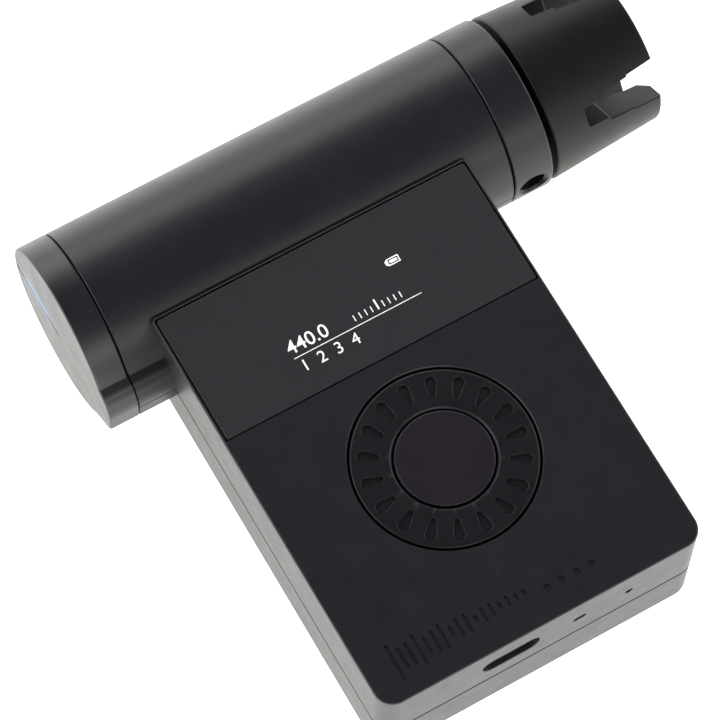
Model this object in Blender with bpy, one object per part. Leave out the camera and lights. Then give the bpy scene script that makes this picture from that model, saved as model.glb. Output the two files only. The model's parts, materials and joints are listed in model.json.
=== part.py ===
"""Hand-held motorised string tuner.

A flat hand unit carries a display, a dial with a select button and a USB port.  The barrel across
its top holds a geared motor, which turns a slotted peg holder.

Everything is in metres.  X runs along the barrel towards the peg holder, -Y towards the USB end and
+Z out of the display.  The origin is under the middle of the object, on the surface it lies on.
"""

import math

import bmesh
import bpy
from mathutils import Matrix, Vector

MM = 0.001

# ------------------------------------------------------------------ clearances
SEAM_GAP = 0.25 * MM      # between two covers that meet in a visible line
FIT_GAP = 0.30 * MM       # between fixed pieces that touch on the real object
RUN_GAP = 0.10 * MM       # radial, between a shaft or pin and the bore it turns in
MOVE_GAP = 0.40 * MM      # between a moving piece and the fixed one beside it
SINK = 0.50 * MM          # how far a joined feature reaches into its parent
PAST = 2.00 * MM          # how far a cutter passes the face it opens

# ------------------------------------------------------------------ hand unit
BODY_WIDTH = 52.2 * MM
FACE_BELOW_BARREL = 2.65 * MM   # barrel's top down to the display face
BACK_ABOVE_REST = 2.25 * MM     # what the tuner lies on up to the hand unit's back
BODY_WALL = 1.6 * MM
FACE_WALL = 2.0 * MM
BODY_CORNER = 3.0 * MM
TOP_CORNER = 0.7 * MM
FACE_CHAMFER = 0.3 * MM
BACK_CHAMFER = 1.4 * MM
SEAM_BELOW_AXIS = 1.0 * MM      # barrel's axis down to the line where front and rear shells meet

# ------------------------------------------------------------------ barrel
BARREL_RADIUS = 13.65 * MM
BARREL_WALL = 1.5 * MM
PANEL_OVER_BARREL = 4.35 * MM   # how far the display reaches over the barrel's round side
CAP_LENGTH = 4.9 * MM
COLLAR_LENGTH = 6.8 * MM
HOLDER_GAP = 0.9 * MM
HOLDER_LENGTH = 18.6 * MM
CASE_BEFORE_BODY = 5.8 * MM     # cap seam to the hand unit's left wall
CASE_PAST_BODY = 6.2 * MM       # hand unit's right wall to the collar seam
RIM_CHAMFER = 0.4 * MM

# Small lug on the barrel's left end, measured from the barrel's axis towards -Y and +Z
LUG_REACH = 2.15 * MM     # beyond the barrel's round side
LUG_TOP = 5.0 * MM
LUG_BOTTOM = -7.5 * MM

# ------------------------------------------------------------------ display
PANEL_LENGTH = 21.3 * MM
PANEL_LIP = 0.4 * MM
PANEL_THICKNESS = 1.4 * MM
PANEL_FLOOR = 3.2 * MM    # face to the underside of the shell below the panel
MODULE_WIDTH = 35.4 * MM
MODULE_LENGTH = 13.4 * MM
MODULE_THICKNESS = 2.4 * MM
MODULE_FROM_TOP = 4.3 * MM

# ------------------------------------------------------------------ dial and button
DIAL_RADIUS = 13.5 * MM
DIAL_BELOW_PANEL = 3.7 * MM     # panel's lower edge to the dial's rim
DIAL_ABOVE_END = 14.7 * MM      # USB end to the dial's rim
DIAL_THICKNESS = 2.0 * MM
DIAL_FLANGE = 1.5 * MM
FLANGE_THICKNESS = 0.7 * MM
DIAL_BEVEL = 0.45 * MM
MARK_COUNT = 18
MARK_INNER_RADIUS = 9.1 * MM
MARK_OUTER_RADIUS = 12.6 * MM
MARK_INNER_WIDTH = 1.0 * MM
MARK_OUTER_WIDTH = 1.9 * MM
MARK_DEPTH = 0.35 * MM
BUTTON_RADIUS = 7.2 * MM
BUTTON_LIP = 0.9 * MM
BUTTON_TRAVEL = 0.4 * MM
STEM_RADIUS = 1.8 * MM
ENCODER_THICKNESS = 1.0 * MM
RETAINER_THICKNESS = 0.8 * MM
RETAINER_WALL = 1.2 * MM

# ------------------------------------------------------------------ board and sockets
USB_LEFT_OF_MIDDLE = 5.35 * MM
USB_DEPTH = 6.2 * MM      # below the face
USB_WIDTH = 8.7 * MM
USB_HEIGHT = 3.2 * MM
USB_LENGTH = 7.3 * MM
USB_SHELL = 0.35 * MM
USB_MARGIN = 0.30 * MM    # opening around the socket
LIGHT_RIGHT_OF_MIDDLE = 5.8 * MM
LIGHT_WIDTH = 2.0 * MM
LIGHT_HEIGHT = 0.8 * MM
LIGHT_PIPE_LENGTH = 2.5 * MM
LIGHT_PIPE_MARGIN = 0.5 * MM    # pipe's flange around its slit
MIC_FROM_SCREW = 7.2 * MM       # microphone's middle to the right-hand case screw
MIC_RADIUS = 0.55 * MM
MIC_SIZE = (3.0 * MM, 2.0 * MM, 1.1 * MM)
BOARD_THICKNESS = 1.0 * MM
BOARD_MARGIN = 1.2 * MM
SWITCH_SIZE = 6.0 * MM
SWITCH_HEIGHT = 2.0 * MM
SHIELD_SIZE = (12.0 * MM, 9.0 * MM, 1.6 * MM)
SHIELD_LEFT_OF_MIDDLE = 14.5 * MM
SHIELD_ABOVE_PANEL_EDGE = 2.0 * MM
CHIP_SIZE = (7.0 * MM, 7.0 * MM, 0.9 * MM)
CHIP_RIGHT_OF_MIDDLE = 4.5 * MM
CHIP_ABOVE_PANEL_EDGE = 3.0 * MM
BATTERY_THICKNESS = 6.4 * MM
BATTERY_MARGIN = 7.6 * MM
PAD_THICKNESS = 0.9 * MM

# ------------------------------------------------------------------ screws
CASE_SCREW_RADIUS = 1.0 * MM
CASE_SCREW_HEAD = 1.9 * MM
CASE_SCREW_HEAD_HEIGHT = 1.5 * MM
CASE_BOSS_RADIUS = 2.5 * MM
CASE_POST_RADIUS = 3.1 * MM
CASE_SCREW_INSET = 5.0 * MM
BOARD_SCREW_RADIUS = 0.8 * MM
BOARD_SCREW_HEAD = 1.5 * MM
BOARD_BOSS_RADIUS = 2.0 * MM
BOARD_SCREW_INSET = 6.2 * MM
GEAR_SCREW_RADIUS = 0.40 * MM
GEAR_SCREW_HEAD = 0.65 * MM
GEAR_SCREW_TURN = math.radians(50)

# ------------------------------------------------------------------ drive
SHAFT_RADIUS = 3.0 * MM
SHAFT_FLAT = 0.5 * MM
BUSH_WALL = 1.9 * MM
SUN_TEETH = 12
PLANET_TEETH = 15
PLANET_COUNT = 3
RING_WALL = 1.9 * MM
GEAR_FACE = 4.5 * MM
CARRIER_THICKNESS = 1.6 * MM
STAGE_GAP = 0.5 * MM
PIN_RADIUS = 0.8 * MM
PLATE_THICKNESS = 3.0 * MM
DRIVE_GAP = 0.55 * MM     # barrel's inside to the gearbox
MOTOR_LENGTH = 24.0 * MM
MOTOR_STEP = 1.6 * MM     # motor's radius less than the gearbox's
CAN_WALL = 0.8 * MM
MAGNET_THICKNESS = 0.9 * MM
ROTOR_SHAFT_RADIUS = 1.0 * MM

# ------------------------------------------------------------------ peg holder
HOLDER_BASE_RADIUS = 13.4 * MM
HOLDER_END_RADIUS = 12.4 * MM
HUB_RADIUS = 8.3 * MM
HUB_LENGTH = 6.3 * MM
SOCKET_RADIUS = 7.5 * MM
SOCKET_DEPTH = 11.2 * MM
SOCKET_CHAMFER = 1.5 * MM
SLOT_TURN = math.radians(33.5)
SLOT_STEPS = (            # distance back from the end, half width there and half width at the next
    (4.7 * MM, 3.05 * MM, 3.55 * MM),
    (9.0 * MM, 2.40 * MM, 2.80 * MM),
    (12.7 * MM, 1.60 * MM, 1.80 * MM),
)
SHAFT_IN_HOLDER = 9.5 * MM
SET_SCREW_RADIUS = 1.5 * MM
COLLAR_HOLE_RADIUS = 2.1 * MM

# ------------------------------------------------------------------ cap light
SLIT_WIDTH = 0.5 * MM
SLIT_LENGTH = 13.0 * MM
SLIT_DEPTH = 0.8 * MM
CAP_WALL = 2.0 * MM
GUIDE_THICKNESS = 1.0 * MM

# ------------------------------------------------------------------ roundness
BIG_SIDES = 48
MID_SIDES = 24
SMALL_SIDES = 12

# ------------------------------------------------------------------ places worked out from the above
CASE_LENGTH = CASE_BEFORE_BODY + BODY_WIDTH + CASE_PAST_BODY
OVERALL = CAP_LENGTH + CASE_LENGTH + COLLAR_LENGTH + HOLDER_GAP + HOLDER_LENGTH
CAP_X = -OVERALL / 2
CASE_X = CAP_X + CAP_LENGTH
CASE_END_X = CASE_X + CASE_LENGTH
COLLAR_END_X = CASE_END_X + COLLAR_LENGTH
HOLDER_X = COLLAR_END_X + HOLDER_GAP
HOLDER_END_X = HOLDER_X + HOLDER_LENGTH
BODY_LEFT = CASE_X + CASE_BEFORE_BODY
BODY_RIGHT = BODY_LEFT + BODY_WIDTH

BODY_LENGTH = PANEL_LENGTH + DIAL_BELOW_PANEL + 2 * DIAL_RADIUS + DIAL_ABOVE_END
AXIS_BEHIND_PANEL = BARREL_RADIUS - PANEL_OVER_BARREL
END_Y = -(BODY_LENGTH + AXIS_BEHIND_PANEL + BARREL_RADIUS) / 2
PANEL_TOP_Y = END_Y + BODY_LENGTH
PANEL_LOW_Y = PANEL_TOP_Y - PANEL_LENGTH
AXIS_Y = PANEL_TOP_Y + AXIS_BEHIND_PANEL
AXIS_Z = BARREL_RADIUS
FACE_Z = 2 * BARREL_RADIUS - FACE_BELOW_BARREL
BACK_Z = BACK_ABOVE_REST
SEAM_Z = AXIS_Z - SEAM_BELOW_AXIS
BARREL_INSIDE = BARREL_RADIUS - BARREL_WALL

DIAL_X = (BODY_LEFT + BODY_RIGHT) / 2
DIAL_Y = PANEL_LOW_Y - DIAL_BELOW_PANEL - DIAL_RADIUS
DIAL_FLANGE_RADIUS = DIAL_RADIUS + DIAL_FLANGE
DIAL_INSIDE = BUTTON_RADIUS + FIT_GAP
BUTTON_FLANGE_RADIUS = DIAL_INSIDE + BUTTON_LIP
FLANGE_TOP_Z = FACE_Z - FACE_WALL - FIT_GAP
FLANGE_LOW_Z = FLANGE_TOP_Z - FLANGE_THICKNESS
ENCODER_TOP_Z = FLANGE_LOW_Z - FIT_GAP
ENCODER_LOW_Z = ENCODER_TOP_Z - ENCODER_THICKNESS
RETAINER_TOP_Z = ENCODER_LOW_Z - MOVE_GAP
RETAINER_LOW_Z = RETAINER_TOP_Z - RETAINER_THICKNESS
RETAINER_INSIDE = BUTTON_FLANGE_RADIUS + 2 * MOVE_GAP

USB_X = DIAL_X - USB_LEFT_OF_MIDDLE
LIGHT_X = DIAL_X + LIGHT_RIGHT_OF_MIDDLE
MIC_X = BODY_RIGHT - CASE_SCREW_INSET - MIC_FROM_SCREW
USB_Z = FACE_Z - USB_DEPTH
BOARD_TOP_Z = USB_Z - USB_HEIGHT / 2 - FIT_GAP
BOARD_LOW_Z = BOARD_TOP_Z - BOARD_THICKNESS
SWITCH_LOW_Z = BOARD_TOP_Z + FIT_GAP
SWITCH_TOP_Z = SWITCH_LOW_Z + SWITCH_HEIGHT
PLUNGER_TOP_Z = SWITCH_TOP_Z + FIT_GAP + BUTTON_TRAVEL
BACK_INSIDE_Z = BACK_Z + BODY_WALL
PAD_Z = BACK_INSIDE_Z + FIT_GAP
BATTERY_Z = PAD_Z + PAD_THICKNESS + FIT_GAP

GEARBOX_RADIUS = BARREL_INSIDE - DRIVE_GAP
MODULE = 2 * (GEARBOX_RADIUS - RING_WALL) / (SUN_TEETH + 2 * PLANET_TEETH + 2.3)
PLANET_ORBIT = MODULE * (SUN_TEETH + PLANET_TEETH) / 2
RING_TEETH = SUN_TEETH + 2 * PLANET_TEETH
COLLAR_SPIGOT = 2.6 * MM
PLATE_END_X = CASE_END_X + SEAM_GAP - COLLAR_SPIGOT - FIT_GAP
PLATE_X = PLATE_END_X - PLATE_THICKNESS
CARRIER_B_X = PLATE_X - STAGE_GAP - CARRIER_THICKNESS
PLANET_B_X = CARRIER_B_X - STAGE_GAP - GEAR_FACE
CARRIER_A_X = PLANET_B_X - STAGE_GAP - CARRIER_THICKNESS
PLANET_A_X = CARRIER_A_X - STAGE_GAP - GEAR_FACE
RING_X = PLANET_A_X - STAGE_GAP
MOTOR_END_X = RING_X - FIT_GAP
MOTOR_X = MOTOR_END_X - MOTOR_LENGTH
MOTOR_RADIUS = GEARBOX_RADIUS - MOTOR_STEP
HUB_X = HOLDER_X - HUB_LENGTH
SHAFT_BORE_END_X = HUB_X + SHAFT_IN_HOLDER + FIT_GAP
COLLAR_HOLE_X = (CASE_END_X + COLLAR_END_X) / 2
COLLAR_INSIDE = HUB_RADIUS + MOVE_GAP + FIT_GAP


# ------------------------------------------------------------------ looks
def look(name, colour, roughness, metallic=0.0):
    material = bpy.data.materials.new(name)
    material.use_nodes = True
    shader = material.node_tree.nodes["Principled BSDF"]
    shader.inputs["Base Color"].default_value = (*colour, 1.0)
    shader.inputs["Roughness"].default_value = roughness
    shader.inputs["Metallic"].default_value = metallic
    return material


def make_looks():
    return {
        "case": look("case_black", (0.030, 0.030, 0.033), 0.45),
        "panel": look("panel_black", (0.040, 0.040, 0.044), 0.35),
        "dial": look("dial_black", (0.026, 0.026, 0.029), 0.40),
        "steel": look("steel", (0.60, 0.60, 0.61), 0.35, 1.0),
        "brass": look("brass", (0.75, 0.58, 0.30), 0.35, 1.0),
        "board": look("board_green", (0.02, 0.12, 0.05), 0.5),
        "chip": look("chip_black", (0.02, 0.02, 0.02), 0.4),
        "cell": look("cell_wrap", (0.30, 0.32, 0.36), 0.35),
        "foam": look("foam_grey", (0.12, 0.12, 0.12), 0.9),
        "nylon": look("nylon_white", (0.75, 0.74, 0.70), 0.45),
        "clear": look("clear_guide", (0.55, 0.70, 0.85), 0.15),
    }


# ------------------------------------------------------------------ outlines
def circle(radius, sides, middle=(0.0, 0.0)):
    step = 2 * math.pi / sides
    return [
        (middle[0] + radius * math.cos(i * step), middle[1] + radius * math.sin(i * step))
        for i in range(sides)
    ]


def arc(middle, radius, start, end, steps):
    points = []
    for i in range(steps + 1):
        angle = start + (end - start) * i / steps
        points.append((middle[0] + radius * math.cos(angle), middle[1] + radius * math.sin(angle)))
    return points


def rectangle(low, high):
    return [(low[0], low[1]), (high[0], low[1]), (high[0], high[1]), (low[0], high[1])]


def rounded(low, high, low_radius, high_radius, steps=4):
    """A rectangle whose two lower corners and two upper corners have their own radii."""
    quarter = math.pi / 2
    corners = (
        (high[0] - low_radius, low[1] + low_radius, low_radius, 3),
        (high[0] - high_radius, high[1] - high_radius, high_radius, 0),
        (low[0] + high_radius, high[1] - high_radius, high_radius, 1),
        (low[0] + low_radius, low[1] + low_radius, low_radius, 2),
    )
    points = []
    for x, y, radius, turn in corners:
        points += arc((x, y), radius, turn * quarter, (turn + 1) * quarter, steps)
    return points


def stadium(middle, width, height, steps=6):
    radius = height / 2
    reach = width / 2 - radius
    half = math.pi / 2
    right = arc((middle[0] + reach, middle[1]), radius, -half, half, steps)
    left = arc((middle[0] - reach, middle[1]), radius, half, 3 * half, steps)
    return right + left


def toothed(teeth, tip, root, tip_share, root_share, first):
    """Straight-flanked gear outline; a ring's teeth point in, so its tip is inside its root."""
    pitch = 2 * math.pi / teeth
    points = []
    for tooth in range(teeth):
        middle = first + tooth * pitch
        for radius, share in ((root, -root_share), (tip, -tip_share), (tip, tip_share), (root, root_share)):
            angle = middle + share * pitch / 2
            points.append((radius * math.cos(angle), radius * math.sin(angle)))
    return points


# ------------------------------------------------------------------ solids
AXES = {
    "X": Matrix(((0, 0, 1), (1, 0, 0), (0, 1, 0))),
    "Y": Matrix(((1, 0, 0), (0, 0, 1), (0, 1, 0))),
    "Z": Matrix.Identity(3),
}


def solid(name, vertices, faces):
    mesh = bpy.data.meshes.new(name)
    work = bmesh.new()
    made = [work.verts.new(point) for point in vertices]
    for face in faces:
        work.faces.new([made[i] for i in face])
    bmesh.ops.recalc_face_normals(work, faces=work.faces)
    work.to_mesh(mesh)
    work.free()
    piece = bpy.data.objects.new(name, mesh)
    bpy.context.scene.collection.objects.link(piece)
    return piece


def loft(name, axis, sections):
    """Skin over outlines of equal count, each (distance along the axis, outline across it).

    Across X an outline is (y, z), across Y it is (x, z) and across Z it is (x, y)."""
    turn = AXES[axis]
    count = len(sections[0][1])
    vertices = [turn @ Vector((a, b, height)) for height, outline in sections for a, b in outline]
    faces = [list(range(count)), list(range((len(sections) - 1) * count, len(sections) * count))]
    for level in range(len(sections) - 1):
        start = level * count
        for i in range(count):
            j = (i + 1) % count
            faces.append([start + i, start + j, start + count + j, start + count + i])
    return solid(name, vertices, faces)


def prism(name, axis, low, high, outline):
    return loft(name, axis, [(low, outline), (high, outline)])


def block(name, low, high):
    return prism(name, "Z", low[2], high[2], rectangle(low[:2], high[:2]))


def turned(name, axis, middle, profile, sides):
    """Turn a closed profile of (distance along the axis, radius) points about the axis.

    The middle is where the axis passes, in the two other directions."""
    turn = AXES[axis]
    vertices = []
    rings = []
    for along, radius in profile:
        start = len(vertices)
        points = [middle] if radius < 1e-9 else circle(radius, sides, middle)
        vertices += [turn @ Vector((a, b, along)) for a, b in points]
        rings.append([start + i for i in range(len(points))])
    faces = []
    for here, after in zip(rings, rings[1:] + rings[:1]):
        for i in range(sides):
            j = (i + 1) % sides
            corners = [here[i % len(here)], here[j % len(here)], after[j % len(after)], after[i % len(after)]]
            corners = list(dict.fromkeys(corners))
            if len(corners) > 2:
                faces.append(corners)
    return solid(name, vertices, faces)


def disc(name, axis, middle, low, high, radius, sides=MID_SIDES):
    return prism(name, axis, low, high, circle(radius, sides, middle))


def tube(name, axis, middle, low, high, inside, outside, sides=MID_SIDES):
    profile = [(low, inside), (low, outside), (high, outside), (high, inside)]
    return turned(name, axis, middle, profile, sides)


def combine(piece, tool, operation):
    modifier = piece.modifiers.new(operation, "BOOLEAN")
    modifier.operation = operation
    modifier.object = tool
    bpy.context.view_layer.update()
    whole = piece.evaluated_get(bpy.context.evaluated_depsgraph_get())
    mesh = bpy.data.meshes.new_from_object(whole)
    piece.modifiers.clear()
    piece.data = mesh
    bpy.data.objects.remove(tool)


def cut(piece, *tools):
    for tool in tools:
        combine(piece, tool, "DIFFERENCE")


def fuse(piece, *others):
    for other in others:
        combine(piece, other, "UNION")


def finish(piece, material, pivot=(0.0, 0.0, 0.0), smooth=30.0):
    """Give a piece its material and put its origin on the pivot that it moves about."""
    mesh = piece.data
    mesh.name = piece.name
    mesh.transform(Matrix.Translation(-Vector(pivot)))
    piece.location = pivot
    mesh.materials.clear()
    mesh.materials.append(material)
    mesh.shade_smooth()
    mesh.set_sharp_from_angle(angle=math.radians(smooth))
    return piece


# ------------------------------------------------------------------ case
def lug_outline():
    """Cross-section of the lug, from inside the barrel wall out to its rounded nose."""
    nose = AXIS_Y - BARREL_RADIUS - LUG_REACH
    inner = AXIS_Y - BARREL_INSIDE + BARREL_WALL / 4
    top = AXIS_Z + LUG_TOP
    bottom = AXIS_Z + LUG_BOTTOM
    return [
        (inner + 1.5 * MM, top + 1.0 * MM),
        (nose + 1.3 * MM, top - 1.1 * MM),
        (nose + 0.4 * MM, top - 2.6 * MM),
        (nose, top - 5.0 * MM),
        (nose + 0.1 * MM, bottom + 3.4 * MM),
        (nose + 0.6 * MM, bottom + 2.6 * MM),
        (inner + 1.5 * MM, bottom - 1.0 * MM),
    ]


def body_outline(inset):
    low = (BODY_LEFT + inset, END_Y + inset)
    high = (BODY_RIGHT - inset, PANEL_TOP_Y + PANEL_LIP - inset)
    smallest = 0.05 * MM
    return rounded(low, high, max(BODY_CORNER - inset, smallest), max(TOP_CORNER - inset, smallest))


def case_block():
    """The case's outside: hand unit, barrel and lug in one."""
    sections = [
        (BACK_Z, body_outline(BACK_CHAMFER)),
        (BACK_Z + BACK_CHAMFER / 3, body_outline(BACK_CHAMFER / 3)),
        (BACK_Z + BACK_CHAMFER, body_outline(0)),
        (FACE_Z - FACE_CHAMFER, body_outline(0)),
        (FACE_Z, body_outline(FACE_CHAMFER)),
    ]
    whole = loft("case_block", "Z", sections)
    fuse(whole, disc("barrel", "X", (AXIS_Y, AXIS_Z), CASE_X, CASE_END_X, BARREL_RADIUS, BIG_SIDES))
    fuse(whole, prism("lug", "X", CASE_X, BODY_LEFT + BODY_WALL / 2, lug_outline()))
    return whole


def case_hollow():
    """The case's inside, less deep under the display panel."""
    wall = BODY_WALL
    corner = BODY_CORNER - wall
    low = (BODY_LEFT + wall, END_Y + wall)
    main = rounded(low, (BODY_RIGHT - wall, PANEL_LOW_Y - FACE_WALL), corner, corner)
    under = rectangle((low[0], low[1] + BODY_LENGTH / 3), (BODY_RIGHT - wall, PANEL_TOP_Y - wall))
    whole = prism("hollow", "Z", BACK_INSIDE_Z, FACE_Z - FACE_WALL, main)
    fuse(whole, prism("under", "Z", BACK_INSIDE_Z, FACE_Z - PANEL_FLOOR, under))
    bore = disc(
        "bore", "X", (AXIS_Y, AXIS_Z), CASE_X - PAST, CASE_END_X + PAST, BARREL_INSIDE, BIG_SIDES
    )
    fuse(whole, bore)
    return whole


def half_space(name, low_z, high_z):
    reach = BODY_LENGTH + BODY_WIDTH + CASE_LENGTH
    return block(name, (-reach, -reach, low_z), (reach, reach, high_z))


def case_screw_places():
    inset = CASE_SCREW_INSET
    top = PANEL_TOP_Y - inset - BODY_WALL - FIT_GAP
    return [
        (x, y)
        for y in (END_Y + inset, top)
        for x in (BODY_LEFT + inset, BODY_RIGHT - inset)
    ]


def board_screw_places():
    """Beside the dial, or below its middle where the hand unit is too narrow for that."""
    clear = DIAL_FLANGE_RADIUS + MOVE_GAP + RETAINER_WALL + BOARD_BOSS_RADIUS + FIT_GAP
    across = BODY_WIDTH / 2 - BOARD_SCREW_INSET
    y = DIAL_Y - math.sqrt(max(clear ** 2 - across ** 2, 0.0))
    return [(DIAL_X - across, y), (DIAL_X + across, y)]


def front_shell(material):
    shell = case_block()
    shell.name = "front_shell"
    cut(shell, case_hollow(), half_space("lower", -BODY_LENGTH, SEAM_Z + SEAM_GAP / 2))

    ceiling = FACE_Z - FACE_WALL + SINK
    for place in case_screw_places():
        fuse(shell, disc("boss", "Z", place, SEAM_Z + SEAM_GAP / 2, ceiling, CASE_BOSS_RADIUS, SMALL_SIDES))
    for place in board_screw_places():
        fuse(shell, disc("boss", "Z", place, BOARD_TOP_Z + FIT_GAP, ceiling, BOARD_BOSS_RADIUS, SMALL_SIDES))
    ring_inside = DIAL_FLANGE_RADIUS + MOVE_GAP
    fuse(shell, tube(
        "dial_wall", "Z", (DIAL_X, DIAL_Y), RETAINER_LOW_Z, ceiling,
        ring_inside, ring_inside + RETAINER_WALL, BIG_SIDES,
    ))

    # The display panel lies in a shallow rebate, with an opening under it for the display module.
    rebate = rounded(
        (BODY_LEFT + PANEL_LIP, PANEL_LOW_Y), (BODY_RIGHT - PANEL_LIP, PANEL_TOP_Y), 0.2 * MM, TOP_CORNER / 2
    )
    cut(shell, prism("rebate", "Z", FACE_Z - PANEL_THICKNESS - FIT_GAP, FACE_Z + PAST, rebate))
    low, high = module_box()
    window = rectangle((low[0] - FIT_GAP, low[1] - FIT_GAP), (high[0] + FIT_GAP, high[1] + FIT_GAP))
    cut(shell, prism("window", "Z", FACE_Z - PANEL_FLOOR - PAST, FACE_Z, window))

    hole = DIAL_RADIUS + MOVE_GAP
    cut(shell, disc(
        "dial_hole", "Z", (DIAL_X, DIAL_Y), FACE_Z - FACE_WALL - PAST / 2, FACE_Z + PAST, hole, BIG_SIDES
    ))
    wall_low, wall_high = END_Y - PAST, END_Y + BODY_WALL + PAST / 2
    socket = stadium((USB_X, USB_Z), USB_WIDTH + 2 * USB_MARGIN, USB_HEIGHT + 2 * USB_MARGIN)
    slit = stadium((LIGHT_X, USB_Z), LIGHT_WIDTH, LIGHT_HEIGHT)
    sound = circle(MIC_RADIUS, SMALL_SIDES, (MIC_X, USB_Z))
    for outline in (socket, slit, sound):
        cut(shell, prism("opening", "Y", wall_low, wall_high, outline))

    bottom = SEAM_Z - PAST
    for place in case_screw_places():
        top = FACE_Z - PANEL_FLOOR - FIT_GAP
        cut(shell, disc("pilot", "Z", place, bottom, top, CASE_SCREW_RADIUS + FIT_GAP, SMALL_SIDES))
    for place in board_screw_places():
        top = FACE_Z - FACE_WALL - FIT_GAP
        cut(shell, disc("pilot", "Z", place, bottom, top, BOARD_SCREW_RADIUS + FIT_GAP, SMALL_SIDES))
    return finish(shell, material)


def rear_cover(material):
    cover = case_block()
    cover.name = "rear_cover"
    cut(cover, case_hollow(), half_space("upper", SEAM_Z - SEAM_GAP / 2, FACE_Z + BODY_LENGTH))
    head_z = case_head_z()
    for place in case_screw_places():
        post = disc(
            "post", "Z", place, BACK_Z + SINK, SEAM_Z - SEAM_GAP / 2 - FIT_GAP, CASE_POST_RADIUS, SMALL_SIDES
        )
        fuse(cover, post)
        shank, head = CASE_SCREW_RADIUS + FIT_GAP, CASE_SCREW_HEAD + FIT_GAP
        cut(cover, disc("through", "Z", place, BACK_Z - PAST, SEAM_Z + PAST, shank, SMALL_SIDES))
        cut(cover, disc("recess", "Z", place, BACK_Z - PAST, head_z + FIT_GAP, head, SMALL_SIDES))
    return finish(cover, material)


def display_window(material):
    low = (BODY_LEFT + PANEL_LIP + SEAM_GAP, PANEL_LOW_Y + SEAM_GAP)
    high = (BODY_RIGHT - PANEL_LIP - SEAM_GAP, PANEL_TOP_Y - SEAM_GAP)
    outline = rounded(low, high, 0.15 * MM, TOP_CORNER / 2)
    return finish(prism("display_window", "Z", FACE_Z - PANEL_THICKNESS, FACE_Z, outline), material)


def module_box():
    middle = (BODY_LEFT + BODY_RIGHT) / 2
    high_y = PANEL_TOP_Y - MODULE_FROM_TOP
    return (middle - MODULE_WIDTH / 2, high_y - MODULE_LENGTH), (middle + MODULE_WIDTH / 2, high_y)


def display_module(material):
    low, high = module_box()
    top = FACE_Z - PANEL_THICKNESS - FIT_GAP
    module = block("display_module", (*low, top - MODULE_THICKNESS), (*high, top))
    return finish(module, material)


# ------------------------------------------------------------------ dial and button
def mark_outline(angle):
    """One sunk mark of the dial: a narrow trapezium, wider outside, with a rounded outer end."""
    steps = 4
    outer_half = MARK_OUTER_WIDTH / 2
    inner_half = MARK_INNER_WIDTH / 2
    middle = MARK_OUTER_RADIUS - outer_half
    points = arc((middle, 0), outer_half, -math.pi / 2, math.pi / 2, steps)
    points += [(MARK_INNER_RADIUS, inner_half), (MARK_INNER_RADIUS, -inner_half)]
    turn = Matrix.Rotation(angle, 2)
    return [tuple(turn @ Vector(point) + Vector((DIAL_X, DIAL_Y))) for point in points]


def dial_ring(material):
    profile = [
        (FACE_Z, DIAL_INSIDE + DIAL_BEVEL),
        (FACE_Z, DIAL_RADIUS - DIAL_BEVEL / 2),
        (FACE_Z - DIAL_BEVEL / 2, DIAL_RADIUS),
        (FLANGE_TOP_Z, DIAL_RADIUS),
        (FLANGE_TOP_Z, DIAL_FLANGE_RADIUS),
        (FLANGE_LOW_Z, DIAL_FLANGE_RADIUS),
        (FLANGE_LOW_Z, BUTTON_FLANGE_RADIUS + MOVE_GAP),
        (FACE_Z - DIAL_THICKNESS, BUTTON_FLANGE_RADIUS + MOVE_GAP),
        (FACE_Z - DIAL_THICKNESS, DIAL_INSIDE),
        (FACE_Z - DIAL_BEVEL, DIAL_INSIDE),
    ]
    ring = turned("dial_ring", "Z", (DIAL_X, DIAL_Y), profile, BIG_SIDES)
    for index in range(MARK_COUNT):
        angle = 2 * math.pi * (index + 0.5) / MARK_COUNT
        cut(ring, prism("mark", "Z", FACE_Z - MARK_DEPTH, FACE_Z + PAST, mark_outline(angle)))
    return finish(ring, material, (DIAL_X, DIAL_Y, FACE_Z))


def encoder_ring(material):
    inside = RETAINER_INSIDE
    ring = tube(
        "encoder_ring", "Z", (DIAL_X, DIAL_Y), ENCODER_LOW_Z, ENCODER_TOP_Z, inside, DIAL_RADIUS, MID_SIDES
    )
    return finish(ring, material, (DIAL_X, DIAL_Y, FACE_Z))


def dial_retainer(material):
    outside = DIAL_FLANGE_RADIUS + MOVE_GAP - FIT_GAP
    ring = tube(
        "dial_retainer", "Z", (DIAL_X, DIAL_Y), RETAINER_LOW_Z, RETAINER_TOP_Z,
        RETAINER_INSIDE, outside, MID_SIDES,
    )
    return finish(ring, material)


def select_button(material):
    flange_top = FACE_Z - DIAL_THICKNESS - FIT_GAP
    flange_low = flange_top - FLANGE_THICKNESS
    profile = [
        (FACE_Z, 0),
        (FACE_Z, BUTTON_RADIUS - DIAL_BEVEL / 2),
        (FACE_Z - DIAL_BEVEL / 2, BUTTON_RADIUS),
        (flange_top, BUTTON_RADIUS),
        (flange_top, BUTTON_FLANGE_RADIUS),
        (flange_low, BUTTON_FLANGE_RADIUS),
        (flange_low, STEM_RADIUS),
        (PLUNGER_TOP_Z + FIT_GAP, STEM_RADIUS),
        (PLUNGER_TOP_Z + FIT_GAP, 0),
    ]
    button = turned("select_button", "Z", (DIAL_X, DIAL_Y), profile, BIG_SIDES)
    return finish(button, material, (DIAL_X, DIAL_Y, FACE_Z))


def select_switch(material):
    half = SWITCH_SIZE / 2
    low, high = (DIAL_X - half, DIAL_Y - half), (DIAL_X + half, DIAL_Y + half)
    body = block("select_switch", (*low, SWITCH_LOW_Z), (*high, SWITCH_TOP_Z))
    bottom, well = SWITCH_LOW_Z + FIT_GAP, STEM_RADIUS + FIT_GAP
    cut(body, disc("well", "Z", (DIAL_X, DIAL_Y), bottom, SWITCH_TOP_Z + PAST, well, SMALL_SIDES))
    return finish(body, material)


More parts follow.
